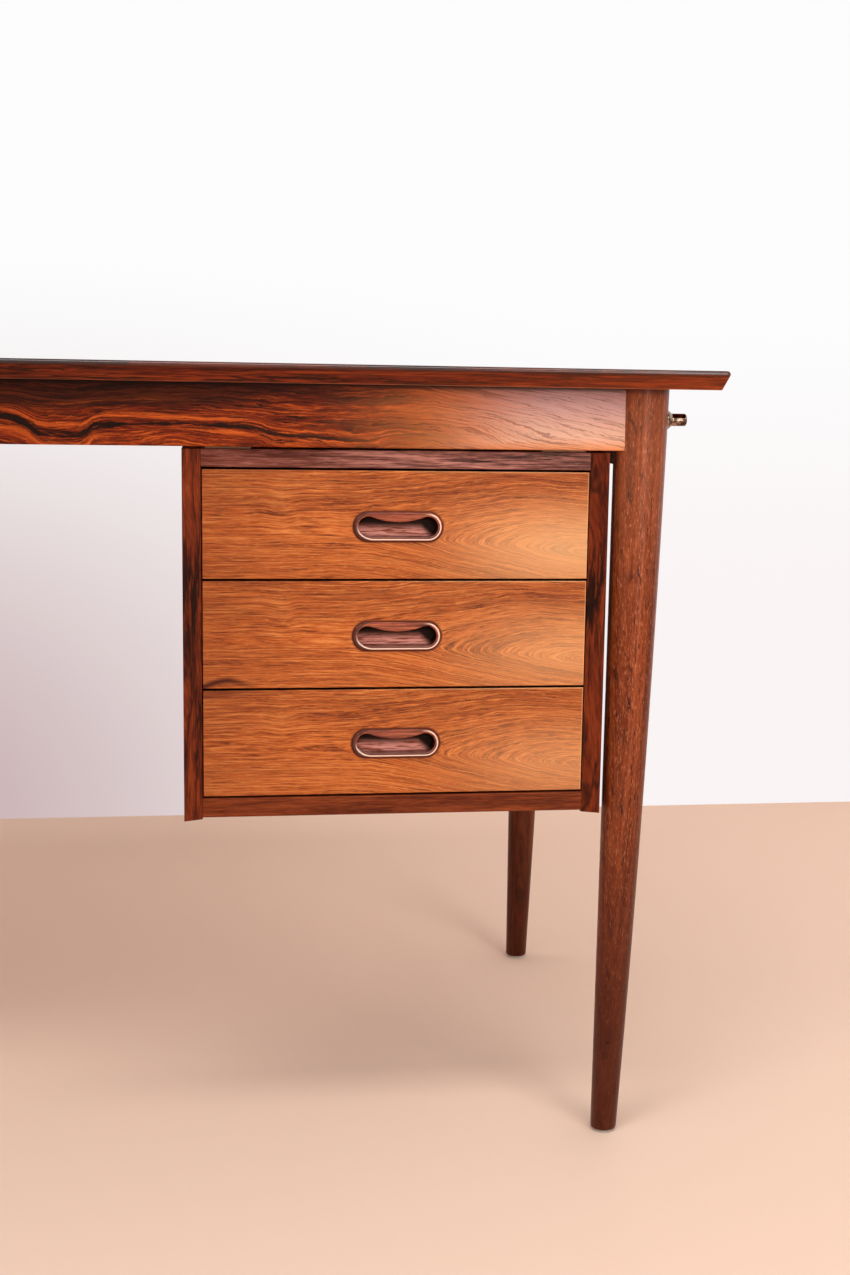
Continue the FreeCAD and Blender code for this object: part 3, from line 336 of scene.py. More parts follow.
class Finish(Nodes):
    """A material being made."""

    def __init__(self, name):
        self.material = bpy.data.materials.new(name)
        self.material.use_nodes = True
        super().__init__(self.material.node_tree)
        self.place = self.reading("ShaderNodeTexCoord", output="Object")

    def noise(self, vector, detail, roughness):
        """Noise in space, from 0 to 1, with grains one unit of the vector across."""
        inputs = {"Vector": vector, "Scale": 1.0, "Detail": detail, "Roughness": roughness}
        return self.reading("ShaderNodeTexNoise", inputs)

    def line_noise(self, value, detail, roughness):
        """Noise along one number, from 0 to 1."""
        inputs = {"W": value, "Scale": 1.0, "Detail": detail, "Roughness": roughness}
        return self.reading("ShaderNodeTexNoise", inputs, noise_dimensions="1D")

    def specks(self, pace, roughness):
        """Even specks, pace to a metre."""
        inputs = {"Vector": self.place, "Scale": (pace, pace, pace)}
        return self.noise(self.reading("ShaderNodeMapping", inputs), 3.0, roughness)

    def tones(self, value, *stops):
        """A colour read from (place, colour) stops."""
        made = self.node("ShaderNodeValToRGB", {"Fac": value})
        elements = made.color_ramp.elements
        while len(elements) < len(stops):
            elements.new(1.0)
        for element, (place, tone) in zip(elements, stops):
            element.position = place
            element.color = (*tone[:3], 1.0)
        return Reading(self, made.outputs[0])

    def curve(self, value, points):
        """A number read from a smooth curve through (place, number) points, both from 0 to 1."""
        made = self.node("ShaderNodeFloatCurve", {"Value": value})
        line = made.mapping.curves[0]
        while len(line.points) < len(points):
            line.points.new(0.5, 0.5)
        for point, place in zip(line.points, points):
            point.location = place
            point.handle_type = "AUTO"
        made.mapping.update()
        return Reading(self, made.outputs[0])

    def bump(self, height, distance, strength):
        inputs = {"Height": height, "Distance": distance, "Strength": strength}
        return self.reading("ShaderNodeBump", inputs)

    def surface(self, shader):
        """The material, finished with a shader."""
        self.node("ShaderNodeOutputMaterial", {"Surface": shader})
        return self.material

    def shade(self, **inputs):
        """The finished material; constants go straight on the shader's sockets."""
        words = {name.replace("_", " "): value for name, value in inputs.items()}
        return self.surface(self.reading("ShaderNodeBsdfPrincipled", words))


class Wood(Finish):
    """A wood being made, with its coordinates along and across the grain, and its growth rings."""

    def __init__(self, name, grain, rings, mirrored=False, **ring_values):
        super().__init__(name)
        x, y, z = self.parts(self.place)
        if mirrored:
            x = abs(x)
        self.along, self.across, self.depth = {
            "X": (x, z, y), "Y": (y, z, x), "Z": (z, x, y)}[grain]
        self.ring = rings(self, **ring_values)

    def figure(self, lines, pitch, pace, detail, roughness, offset=0.0, along=None):
        """Noise that follows lines: pitch metres from one to the next, pace changes a metre."""
        along = self.along if along is None else along
        return self.noise(self.join(along * pace, lines / pitch, offset), detail, roughness)


def wood_tone(name):
    """A tone from the woods' colours as the user has set it."""
    return tuple(getattr(bpy.context.scene.desk_woods, name))


def dimmed(tone, share):
    """A tone with only a share of its light."""
    return tuple(channel * share for channel in tone)


def three_tones(wood, share=1.0):
    """Light, middle and dark tone of one rosewood."""
    return [dimmed(wood_tone(f"{wood}_{tone}"), share) for tone in ("light", "middle", "dark")]


def pith_rings(wood, pith=(0.3, 0.05), wander=0.02, waves=(3.0, 14.0)):
    """Distance from the pith line, disturbed by slow noise: its levels are the growth rings."""
    slow = wood.join(wood.along * waves[0], wood.across * waves[1], wood.depth * waves[1])
    drift = wood.noise(slow, 2.0, 0.55) * wander - wander / 2
    return (wood.across - pith[0] + drift).diagonal(wood.depth - pith[1])


def rosewood(name, tones, grain="X", rings=pith_rings, pitches=(0.018, 0.0062, 0.0016, 0.0006),
             paces=(4.0, 9.0, 26.0, 80.0), weights=(0.26, 0.28, 0.30, 0.26), contrast=1.0,
             streaks=0.6, streak_pitch=0.020, veins=0.4, vein_pitch=0.006, roughness=0.36,
             gloss=0.22, tint=(1.0, 0.76, 0.64), coat=None, pores=0.4, pore_pace=20.0,
             fleck=None, flecks=0.25, fleck_width=0.0014, mirrored=False, marks=None,
             **ring_values):
    """Oiled rosewood: bands, lines and fibres along its rings, open pores and black streaks."""
    light, middle, dark = tones
    wood = Wood(name, grain, rings, mirrored, **ring_values)
    sheared = wood.across * 2.2 + wood.along

    layers = [
        wood.figure(wood.ring, pitch, pace, 3.0, 0.6, 7.3 * index, sheared)
        for index, (pitch, pace) in enumerate(zip(pitches, paces))]
    bands, _, lines, fibre = layers
    value = bands * weights[0]
    for layer, weight in zip(layers[1:], weights[1:]):
        value = layer * weight + value
    half = sum(weights) / 2
    reach = 0.14 / contrast
    value = value.between(half - reach, half + reach, smooth=False)
    base = wood.tones(value, (0.04, dark), (0.46, middle), (0.96, light))

    dashes = wood.figure(wood.ring, 0.0015, pore_pace, 1.0, 0.5, 51.0, sheared)
    dashes = dashes.between(0.60, 0.70)
    base = base.under(dashes * pores, dark)
    glints = wood.noise(wood.join(
        wood.along / (fleck_width * 8.0), wood.across / fleck_width, wood.depth / fleck_width,
    ), 1.0, 0.5)
    base = base.under(glints.between(0.57, 0.70) * flecks, fleck or light)

    hair = wood.figure(wood.ring, vein_pitch, 5.0, 3.0, 0.6, 17.0, sheared).hill(0.5, 0.040)
    base = base.under(hair * lines.between(0.40, 0.58, 1.0, 0.35) * veins, dark)
    thin = wood.figure(wood.ring, streak_pitch, 5.0, 4.0, 0.65, 31.0).hill(0.5, 0.030)
    base = base.under(thin * bands.between(0.46, 0.60, 1.0, 0.0) * streaks, wood_tone("streak"))
    if marks:
        base = marks(wood, base)

    return wood.shade(
        Base_Color=base,
        Roughness=dashes * 0.12 + (fibre * 0.14 + (roughness - 0.07)),
        IOR=1.48,
        Specular_IOR_Level=gloss,
        Specular_Tint=tint,
        Coat_Weight=coat(wood) if coat else 0.0,
        Coat_Roughness=0.12,
        Normal=wood.bump(fibre * 0.40 + dashes * -0.7, 0.00014, 0.5))


def height_in_front(wood):
    """Height above the lower edge of the drawer front that a point is in."""
    sizes = bpy.context.scene.desk_sizes
    return (wood.across - sizes.front_low) % sizes.front_pitch


def front_rings(wood):
    """Rings of a drawer front: level at the left, cathedral arches at the lower right."""
    along, height = wood.along, height_in_front(wood)
    slow = wood.noise(wood.join(along * 8.0, height * 24.0, 0.0), 2.0, 0.5)
    quick = wood.noise(wood.join(along * 60.0, height * 130.0, 0.0), 3.0, 0.6)
    drift = quick * 0.0042 + (slow * 0.010 - 0.0071)
    drift = drift * along.between(0.36, 0.52, 0.35, 1.0)
    heart = along.between(0.44, 0.64, 0.042, 0.024, smooth=False)
    side = height - heart + drift
    side = side * 1.3 + abs(side) * -0.3
    reach = along.between(0.41, 0.68, 0.075, 0.0)
    knot = along.hill(FEATHER_X, 0.020) * height.hill(0.068, 0.034)
    level = side.diagonal(0.004) * 0.60
    return side.diagonal(reach) * 0.75 + (knot * 0.0022 + level)


def from_pull_edge(wood, height):
    """Distance from the outer edge of the pull in a drawer front, less than nothing inside it."""
    sizes = bpy.context.scene.desk_sizes
    aside = (abs(wood.along - sizes.pull_middle) - sizes.pull_straight).at_least(0.0)
    return aside.diagonal(height - sizes.pull_height) - sizes.pull_round


def pull_painted_light(wood, base):
    """Painted light on a pull: painted shadow in its cup under the lip, painted light on the cup's
    floor below, painted shade on the lower and outer slopes of its rim, and painted highlights
    along the rim.
    """
    sizes = bpy.context.scene.desk_sizes
    dark = wood_tone("pull_dark")
    height = height_in_front(wood)
    seam = from_pull_edge(wood, height)
    rise = height - sizes.pull_height
    aside = wood.along - sizes.pull_middle
    behind = wood.depth - PULL_FACE_Y

    # Painted shadow fills the cup under the lip and at its right end; painted light lies on the
    # cup's floor below.
    inside = seam.between(-0.0036, -0.0043) * behind.between(0.0005, 0.0015)
    grain = wood.figure(wood.across, 0.0020, 34.0, 3.0, 0.65, 5.0)
    painted_floor_light = wood.blend(
        grain.between(0.38, 0.56), wood_tone("pull_middle"), wood_tone("pull_painted_floor_light"))
    right = grain * 0.008 + aside.between(0.020, 0.034, -0.0040, 0.0050)
    lit = (rise + right).between(0.0036, -0.0052)
    cup = wood.blend(lit * 0.94, CUP_PAINTED_SHADOW, painted_floor_light)
    base = base.under(inside * 0.97, cup)

    # Painted shadow along the lower inside edge of the cup, and painted shade on the body of the
    # lower rim.
    below = rise.between(0.0030, -0.0060)
    step = behind.hill(0.0017, 0.0016) * (below * inside)
    base = base.under(step * 0.85, dark)
    base = base.under(below * seam.between(-0.0052, -0.0044, 0.0, 0.70), dark)
    # Painted shade on the rim's outer slope, widest at the left tip, where it faces away from the
    # light.
    left_tip = aside.between(-0.022, -0.033)
    right_tip = aside.between(0.022, 0.033)
    inner = left_tip * -0.0024 - 0.0012
    base = base.under((seam - inner).between(0.0, 0.0010, 0.0, 0.88), dark)
    # Painted highlights along the rim's crest and mouth.
    crest = seam.hill(left_tip * -0.0018 - 0.0022, 0.0009) * below.at_least(right_tip)
    mouth = seam.hill(-0.0045, 0.0005) * below.at_least(left_tip.at_least(right_tip))
    mouth = mouth * behind.between(0.0013, 0.0005)
    return base.under((crest * 0.95).at_least(mouth * 0.45), wood_tone("pull_painted_highlight"))


def front_marks_and_painted_light(wood, base):
    """Paler heart of the arches, with painted highlight on the upper fronts; a feather; a browner
    upper band; painted shade towards the inner end; painted highlights on the top arris and the
    outer end; painted shadow round the pull and in the gaps between fronts.
    """
    sizes = bpy.context.scene.desk_sizes
    along, across, height = wood.along, wood.across, height_in_front(wood)
    pale, dark = wood_tone("front_pale_and_highlight"), wood_tone("front_dark")

    # The arches' heart is paler in the figure and, more so on the upper fronts, with painted
    # highlight.
    heart = along.between(0.46, 0.62) * height.hill(0.026, 0.066)
    base = base.under(heart * across.between(0.42, 0.60, 0.30, 0.62), pale)
    glow = wood.figure(wood.ring, 0.0018, 90.0, 2.0, 0.6, 63.0)
    feather = along.hill(FEATHER_X, 0.013) * height.hill(0.078, 0.030) * glow.between(0.40, 0.66)
    base = base.under(feather * 0.60, wood_tone("front_light"))
    grey = wood.figure(wood.ring, 0.0026, 8.0, 3.0, 0.6, 71.0)
    upper = height.between(0.046, 0.090) * grey.between(0.40, 0.60)
    base = base.under(upper * 0.42, dark)
    # Painted shade towards the front's inner end.
    base = base.under(along.between(0.40, FRONT_NEAR_X, 0.0, 0.30), dark)

    # Painted highlights on the top arris, growing towards the outer end, and on the outer end.
    arris = sizes.front_height
    top = height.between(arris - 0.0015, arris - 0.0003) * along.between(0.36, 0.60, 0.0, 0.40)
    end = along.between(FRONT_FAR_X - 0.0011, FRONT_FAR_X) * 0.45
    base = base.under(top.at_least(end), pale)

    second = sizes.front_low + sizes.front_pitch
    first = second + sizes.front_pitch
    lift = along.hill(0.309, 0.032) * 0.0070 + 0.0002
    corner = (height - lift).hill(0.0, 0.0050) * along.between(0.340, 0.308)
    level = across.between(second - 0.0016, second - 0.0010) * across.between(
        first - 0.0001, first - 0.0011)
    base = base.under(corner * level, wood_tone("pull_dark"))
    third = across.between(second - 0.0010, second - 0.0016) * along.between(
        0.345, 0.300, 0.0, 0.55)
    base = base.under(third * height.between(0.084, 0.094), dark)

    # Painted shadow round the pull, where its rim meets the front.
    seam = from_pull_edge(wood, height)
    base = base.under(seam.between(0.0016, 0.0002, 0.0, 0.80), dark)
    # Painted shade on the front's edges behind its face, darkening the gaps between fronts.
    painted_gap_shade = (wood.depth - FRONT_FACE_Y).between(0.0005, 0.0013, 0.0, 0.92)
    return base.under(painted_gap_shade, wood_tone("streak"))


def apron_line(wood):
    """Height of the aprons' main black line above the floor."""
    place = wood.along.between(-APRON_REACH, APRON_REACH, smooth=False)
    return wood.curve(place, APRON_LINE) * APRON_LINE_RISE + APRON_FOOT


def apron_rings(wood):
    """Lines of an apron: they follow its main black line beside it, and run level higher up."""
    along, across = wood.along, wood.across
    slow = wood.noise(wood.join(along * 9.0, across * 40.0, 0.0), 2.0, 0.5)
    quick = wood.noise(wood.join(along * 60.0, across * 170.0, 0.0), 3.0, 0.62)
    drift = quick * 0.0046 + (slow * 0.012 - 0.0083)
    line = apron_line(wood)
    above = across - line
    bend = (line - 0.668) * above.between(0.000, 0.022, 1.0, 0.25)
    slope = (along - 0.49).at_least(0.0) * 0.18
    height = across - 0.668 - bend + drift + slope
    wave = along.hill(0.262, 0.040) * above.between(-0.001, -0.007)
    return wave * -0.007 + height


def apron_marks_and_painted_light(wood, base):
    """The main black line of an apron; its smoky upper band, deepened by painted shadow under the
    top; its paler right end, partly pale wood and partly a painted highlight; and a painted shadow
    just under the top.
    """
    along, across, black = wood.along, wood.across, wood_tone("streak")
    wave = wood.figure(across, 0.010, 40.0, 4.0, 0.65, 12.0)
    height = across - apron_line(wood) + (wave * 0.007 - 0.0035)
    breadth = wood.figure(across, 0.5, 17.0, 3.0, 0.6) * 0.0125 - 0.0040
    line = (abs(height) / breadth.at_least(0.0006)).between(0.45, 1.10, 1.0, 0.0)
    base = base.under(line * along.between(0.47, 0.575, 0.94, 0.10), black)

    # The upper band: smoky wood, deepened by painted shadow under the top, most at the left.
    smoke = wood.figure(wood.ring, 0.0050, 9.0, 5.0, 0.68, 44.0)
    rise = smoke * 0.044 + (across - 0.022)
    upper = (rise - along.between(0.18, 0.58, 0.683, 0.704)).between(0.0, 0.014)
    upper = upper * along.between(0.24, 0.56, 0.84, 0.40)

    # The paler right end: partly pale wood, partly a painted highlight, greyer at the top where the
    # glare is.
    grey = wood.figure(wood.ring, 0.0014, 16.0, 3.0, 0.7, 90.0)
    clear = wood.blend(
        across.between(0.662, 0.708), wood_tone("apron_pale_and_glare"), wood_tone("apron_glare_grey"))
    glow = along.between(0.60, 0.47).at_least(across.between(0.670, APRON_FOOT, 0.0, 0.8))
    clear = clear.under(glow, wood_tone("apron_glow"))
    clear = clear.under(grey.between(0.50, 0.62, 0.0, 0.62), wood_tone("rail_middle"))
    patch = smoke * 0.10 + (along - 0.05)
    base = base.under(patch.between(0.36, 0.62, 0.0, 0.90), clear)
    base = base.under(upper, wood_tone("case_dark"))
    # Painted shadow just under the top's edge.
    return base.under(across.between(APRON_HEAD - 0.0046, APRON_HEAD, 0.0, 0.85), black)


def leg_marks_and_painted_light(wood, base):
    """A leg with painted light: painted shade darkening it towards the foot, painted light on its
    upper part and a painted shadow under the top; and a small nail hole low on the front right leg.
    """
    along, dark = wood.along, wood_tone("leg_dark")
    # Painted shade towards the foot, and painted light on the upper part.
    base = base.under(along.between(0.48, 0.04, 0.0, 0.85), dark)
    base = base.under(along.between(0.48, 0.68, 0.0, 0.14), wood_tone("leg_fleck_and_highlight"))
    # Painted shadow under the top.
    base = base.under(along.between(0.706, 0.712, 0.0, 0.70), dark)
    hole = bpy.context.scene.desk_sizes.nail_hole
    away = (wood.across - NAIL_X).diagonal(along - NAIL_Z)
    nail = away.between(hole * 0.7, hole * 1.3, 1.0, 0.0) * wood.depth.between(-0.240, -0.245)
    return base.under(nail, NAIL_BLACK)


def rim_polish(wood):
    """Coat of a pull: fingers have polished its rim, not its cup."""
    return (wood.depth - PULL_FACE_Y).between(0.0007, 0.0, 0.0, 0.8)


def nose_polish(wood):
    """Coat of a lipping: hands have polished its upper round."""
    return wood.across.between(0.7246, 0.7274) * wood.across.between(0.7299, 0.7290)


def lipping_marks_and_painted_light(wood, base):
    """A lipping with painted light: paler to the right and darker to the left, as the light falls
    from the right; a darker band below its nose; and a painted highlight along its lower arris.
    """
    along, across, dark = wood.along, wood.across, wood_tone("lipping_dark")
    # Painted light to the right and painted shade to the left.
    base = base.under(along.between(0.30, 0.74, 0.0, 0.20), wood_tone("leg_light"), "ADD")
    base = base.under(along.between(0.34, 0.05, 0.0, 0.35), dark)
    base = base.under(across.between(0.7236, 0.7258, 0.0, 0.60), dark)
    # Painted highlight along the lower arris.
    painted_highlight = across.between(0.7142, 0.7134) * along.between(0.30, 0.45, 0.1, 0.2)
    return base.under(painted_highlight, wood_tone("leg_fleck_and_highlight"))


def case_marks(wood, base):
    """Black patches halfway down the front edges of a pedestal's sides."""
    patch = wood.figure(wood.across, 0.006, 16.0, 4.0, 0.65, 8.0).between(0.46, 0.56)
    patch = patch * wood.along.hill(0.530, 0.110) * wood.depth.between(-0.235, -0.250, 0.0, 0.9)
    return base.under(patch, wood_tone("streak"))


def rail_marks(wood, base):
    """A pedestal's upper board grows darker to the left."""
    return base.under(wood.along.between(0.52, 0.27, 0.0, 0.60), wood_tone("case_middle"))


def plain_wood(name, body, grain, roughness=0.5, ring=0.004):
    """A pale even wood: soft rings, fine flecks and a dry surface."""
    wood = Wood(name, grain, pith_rings, pith=(0.22, 0.31), wander=0.012, waves=(2.0, 11.0))
    bands = wood.line_noise(wood.ring / ring, 2.0, 0.6)
    fibres = wood.join(wood.along * 60.0, wood.across * 1100.0, wood.depth * 1100.0)
    fleck = wood.noise(fibres, 2.0, 0.6)
    value = fleck * 0.4 + bands * 0.6
    return wood.shade(
        Base_Color=wood.tones(value, (0.30, dimmed(body, 0.70)), (0.62, body)),
        Roughness=fleck * 0.15 + roughness,
        Normal=wood.bump(value, 0.00015, 0.5))


def turned_brass():
    """Aged brass: faint turning marks round the rod's axis and a brown film."""
    metals = bpy.context.scene.desk_metals
    finish = Finish("brass")
    turns = finish.parts(finish.place)[0] * 3200.0
    film = finish.specks(160.0, 0.6)
    return finish.shade(
        Base_Color=finish.blend(
            film.between(0.40, 0.66), tuple(metals.brass), tuple(metals.tarnish)),
        Metallic=1.0,
        Roughness=film * 0.14 + 0.08,
        Normal=finish.bump(finish.line_noise(turns, 2.0, 0.6), 0.00006, 0.35))


def screw_steel():
    """Zinc-grey steel, with fine scratches."""
    finish = Finish("screw_steel")
    wear = finish.specks(700.0, 0.6)
    steel = tuple(bpy.context.scene.desk_metals.steel)
    return finish.shade(
        Base_Color=finish.tones(wear, (0.35, dimmed(steel, 0.55)), (0.60, steel)),
        Metallic=1.0,
        Roughness=wear * 0.2 + 0.32,
        Normal=finish.bump(wear, 0.00004, 0.4))


def glide_nylon():
    """Moulded nylon, scuffed where it slides."""
    finish = Finish("glide_nylon")
    scuff = finish.specks(420.0, 0.65)
    nylon = tuple(bpy.context.scene.desk_metals.nylon)
    return finish.shade(
        Base_Color=finish.tones(scuff, (0.30, dimmed(nylon, 0.72)), (0.62, nylon)),
        Roughness=scuff * 0.25 + 0.38,
        Normal=finish.bump(scuff, 0.00008, 0.4))


def finish_nodes(material, *names):
    """Gives one material to the named pieces."""
    for name in names:
        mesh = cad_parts[name].data
        mesh.materials.clear()
        mesh.materials.append(material)


def both_sides(piece):
    """Names of one piece at the left and at the right."""
    return [f"{side}_{piece}" for side in ("left", "right")]


def all_drawers(piece):
    """Names of one piece in all six drawers."""
    return [name for n in (1, 2, 3) for name in both_sides(f"drawer_{n}_{piece}")]


class DESK_OT_dress_top(bpy.types.Operator):
    """Veneer the desk's top and put rosewood on its lippings"""

    bl_idname = "desk.dress_top"
    bl_label = "Dress Top"

    def execute(self, context):
        veneer = rosewood("top_veneer", three_tones("apron"), pith=(0.02, 0.55), **VENEER)
        finish_nodes(veneer, "top_panel")
        lipping = rosewood(
            "lipping_rosewood", three_tones("lipping"), pith=(0.60, -0.10),
            pitches=(0.008, 0.0034, 0.0016, 0.0007), paces=(4.0, 7.0, 12.0, 40.0), contrast=1.7,
            streak_pitch=0.012, veins=0.9, vein_pitch=0.0034, roughness=0.40, gloss=0.20,
            coat=nose_polish, marks=lipping_marks_and_painted_light, **LIPPING)
        finish_nodes(lipping, "top_lippings")
        return {"FINISHED"}


class DESK_OT_dress_frame(bpy.types.Operator):
    """Put rosewood on the aprons, end rails and legs, and beech and nylon on the small parts"""

    bl_idname = "desk.dress_frame"
    bl_label = "Dress Frame"

    def execute(self, context):
        apron = rosewood(
            "apron_rosewood", three_tones("apron"), rings=apron_rings,
            pitches=(0.012, 0.0040, 0.0017, 0.0007), paces=(4.0, 9.0, 18.0, 60.0), contrast=1.2,
            streaks=0.95, streak_pitch=0.012, veins=0.75, vein_pitch=0.0042, pores=0.5,
            gloss=0.16, marks=apron_marks_and_painted_light)
        finish_nodes(apron, "front_apron", "rear_apron")
        rail = rosewood(
            "end_rail_rosewood", three_tones("apron"), "Y", pith=(0.60, 0.75), wander=0.030,
            waves=(3.2, 16.0), streaks=0.9)
        finish_nodes(rail, *both_sides("end_rail"))
        leg = rosewood(
            "leg_rosewood", three_tones("leg"), "Z", waves=(1.4, 14.0),
            pitches=(0.014, 0.0040, 0.0016, 0.0008), paces=(1.4, 3.5, 9.0, 50.0), contrast=1.05,
            streaks=0.2, veins=0.40, vein_pitch=0.004, pores=1.0, pore_pace=60.0,
            fleck=wood_tone("leg_fleck_and_highlight"), flecks=0.50, fleck_width=0.0007, roughness=0.33,
            gloss=0.24, tint=(1.0, 0.84, 0.76), marks=leg_marks_and_painted_light, **LEG)
        finish_nodes(leg, "front_left_leg", "front_right_leg")
        # Painted shade: the rear legs get a darker copy of the legs' wood.
        shaded_rear_leg = rosewood(
            "rear_leg_rosewood", three_tones("leg", 0.42), "Z", waves=(2.2, 20.0),
            paces=(2.0, 6.0, 14.0, 60.0), streaks=0.4, **LEG)
        finish_nodes(shaded_rear_leg, "rear_left_leg", "rear_right_leg")
        beech = wood_tone("beech")
        finish_nodes(plain_wood("beech_across", beech, "X"), "corner_blocks", "rod_guides")
        finish_nodes(plain_wood("beech_deep", beech, "Y"), "cross_bearers", *both_sides("runners"))
        finish_nodes(glide_nylon(), "foot_glides")
        return {"FINISHED"}


class DESK_OT_dress_pedestals(bpy.types.Operator):
    """Put dark rosewood on the two pedestals and plywood on their backs"""

    bl_idname = "desk.dress_pedestals"
    bl_label = "Dress Pedestals"

    def execute(self, context):
        side = rosewood(
            "case_side_rosewood", three_tones("case"), "Z", pith=(0.50, -0.40), wander=0.020,
            waves=(4.5, 30.0), pitches=(0.012, 0.0050, 0.0017, 0.0007),
            paces=(5.0, 12.0, 26.0, 80.0), contrast=1.15, streaks=0.7, veins=0.6, gloss=0.14,
            marks=case_marks)
        finish_nodes(side, *both_sides("inner_side"), *both_sides("outer_side"))
        upper = rosewood(
            "case_board_rosewood", three_tones("rail"), pith=(0.45, -0.34),
            pitches=(0.012, 0.0060, 0.0028, 0.0008), contrast=1.3, streaks=0.9,
            streak_pitch=0.010, veins=0.9, vein_pitch=0.0030, marks=rail_marks, **BOARD)
        finish_nodes(upper, *both_sides("top_board"))
        lower = rosewood(
            "lower_board_rosewood", three_tones("leg", 0.78), pith=(0.24, -0.34),
            pitches=(0.012, 0.0045, 0.0016, 0.0007), contrast=0.9, streaks=0.3, veins=0.5,
            vein_pitch=0.0036, gloss=0.16, **BOARD)
        finish_nodes(lower, *both_sides("bottom_board"))
        back = plain_wood("back_plywood", wood_tone("plywood"), "X", 0.55, 0.006)
        finish_nodes(back, *both_sides("back_panel"))
        return {"FINISHED"}


class DESK_OT_dress_drawers(bpy.types.Operator):
    """Veneer the drawer fronts, and put rosewood on the pulls and maple on the boxes"""

    bl_idname = "desk.dress_drawers"
    bl_label = "Dress Drawers"

    def execute(self, context):
        front = rosewood(
            "drawer_front_rosewood", three_tones("front"), rings=front_rings, mirrored=True,
            pitches=(0.022, 0.0030, 0.0013, 0.0007), paces=(3.0, 8.0, 16.0, 50.0),
            weights=(0.12, 0.10, 0.38, 0.42), contrast=1.20, streaks=0.25, streak_pitch=0.016,
            veins=0.42, vein_pitch=0.0044, pores=0.40, pore_pace=34.0, flecks=0.45,
            fleck_width=0.0009, roughness=0.40, gloss=0.18, marks=front_marks_and_painted_light)
        finish_nodes(front, *all_drawers("front"))
        pull = rosewood(
            "pull_rosewood", three_tones("pull"), pith=(0.10, -0.45), wander=0.010,
            waves=(6.0, 40.0), mirrored=True, pitches=(0.010, 0.0040, 0.0014, 0.0006),
            streaks=0.3, roughness=0.34, gloss=0.10, coat=rim_polish, marks=pull_painted_light)
        finish_nodes(pull, *all_drawers("pull"))
        maple = wood_tone("maple")
        finish_nodes(plain_wood("drawer_maple", maple, "Y"), *all_drawers("carcass"))
        finish_nodes(plain_wood("drawer_bottom_maple", maple, "X"), *all_drawers("bottom"))
        return {"FINISHED"}


class DESK_OT_dress_rods(bpy.types.Operator):
    """Put aged brass on the rods, bushes and pegs"""

    bl_idname = "desk.dress_rods"
    bl_label = "Dress Rods"

    def execute(self, context):
        finish_nodes(turned_brass(), "front_rod", "rear_rod", "rod_bushes", "hanging_pegs")
        return {"FINISHED"}


class DESK_OT_dress_leaf(bpy.types.Operator):
    """Veneer the loose leaf and finish its lippings and battens"""

    bl_idname = "desk.dress_leaf"
    bl_label = "Dress Leaf"

    def execute(self, context):
        veneer = rosewood("leaf_veneer", three_tones("apron"), "Z", pith=(-0.22, 0.45), **VENEER)
        finish_nodes(veneer, "leaf_panel")
        lipping = rosewood(
            "leaf_lipping_rosewood", three_tones("lipping"), "Z", pith=(-0.60, 0.30),
            pitches=(0.009, 0.0045, 0.0016, 0.0007), roughness=0.30, gloss=0.4, **LIPPING)
        finish_nodes(lipping, "leaf_lippings")
        finish_nodes(plain_wood("leaf_beech", wood_tone("beech"), "Z"), "leaf_battens")
        return {"FINISHED"}


def head_centres(node, axis, highest):
    """Middle of each screw head's face in a node of like screws, read from the face's rim."""
    points = [vertex.co.copy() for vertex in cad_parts[node].data.vertices]
    level = (max if highest else min)(point[axis] for point in points)
    rims = []
    for point in points:
        if abs(point[axis] - level) > FACE_SLACK:
            continue
        for rim in rims:
            if (rim[0] - point).length < RIM_REACH:
                rim.append(point)
                break
        else:
            rims.append([point])
    return [
        Vector([(min(p[i] for p in rim) + max(p[i] for p in rim)) / 2 for i in range(3)])
        for rim in rims]


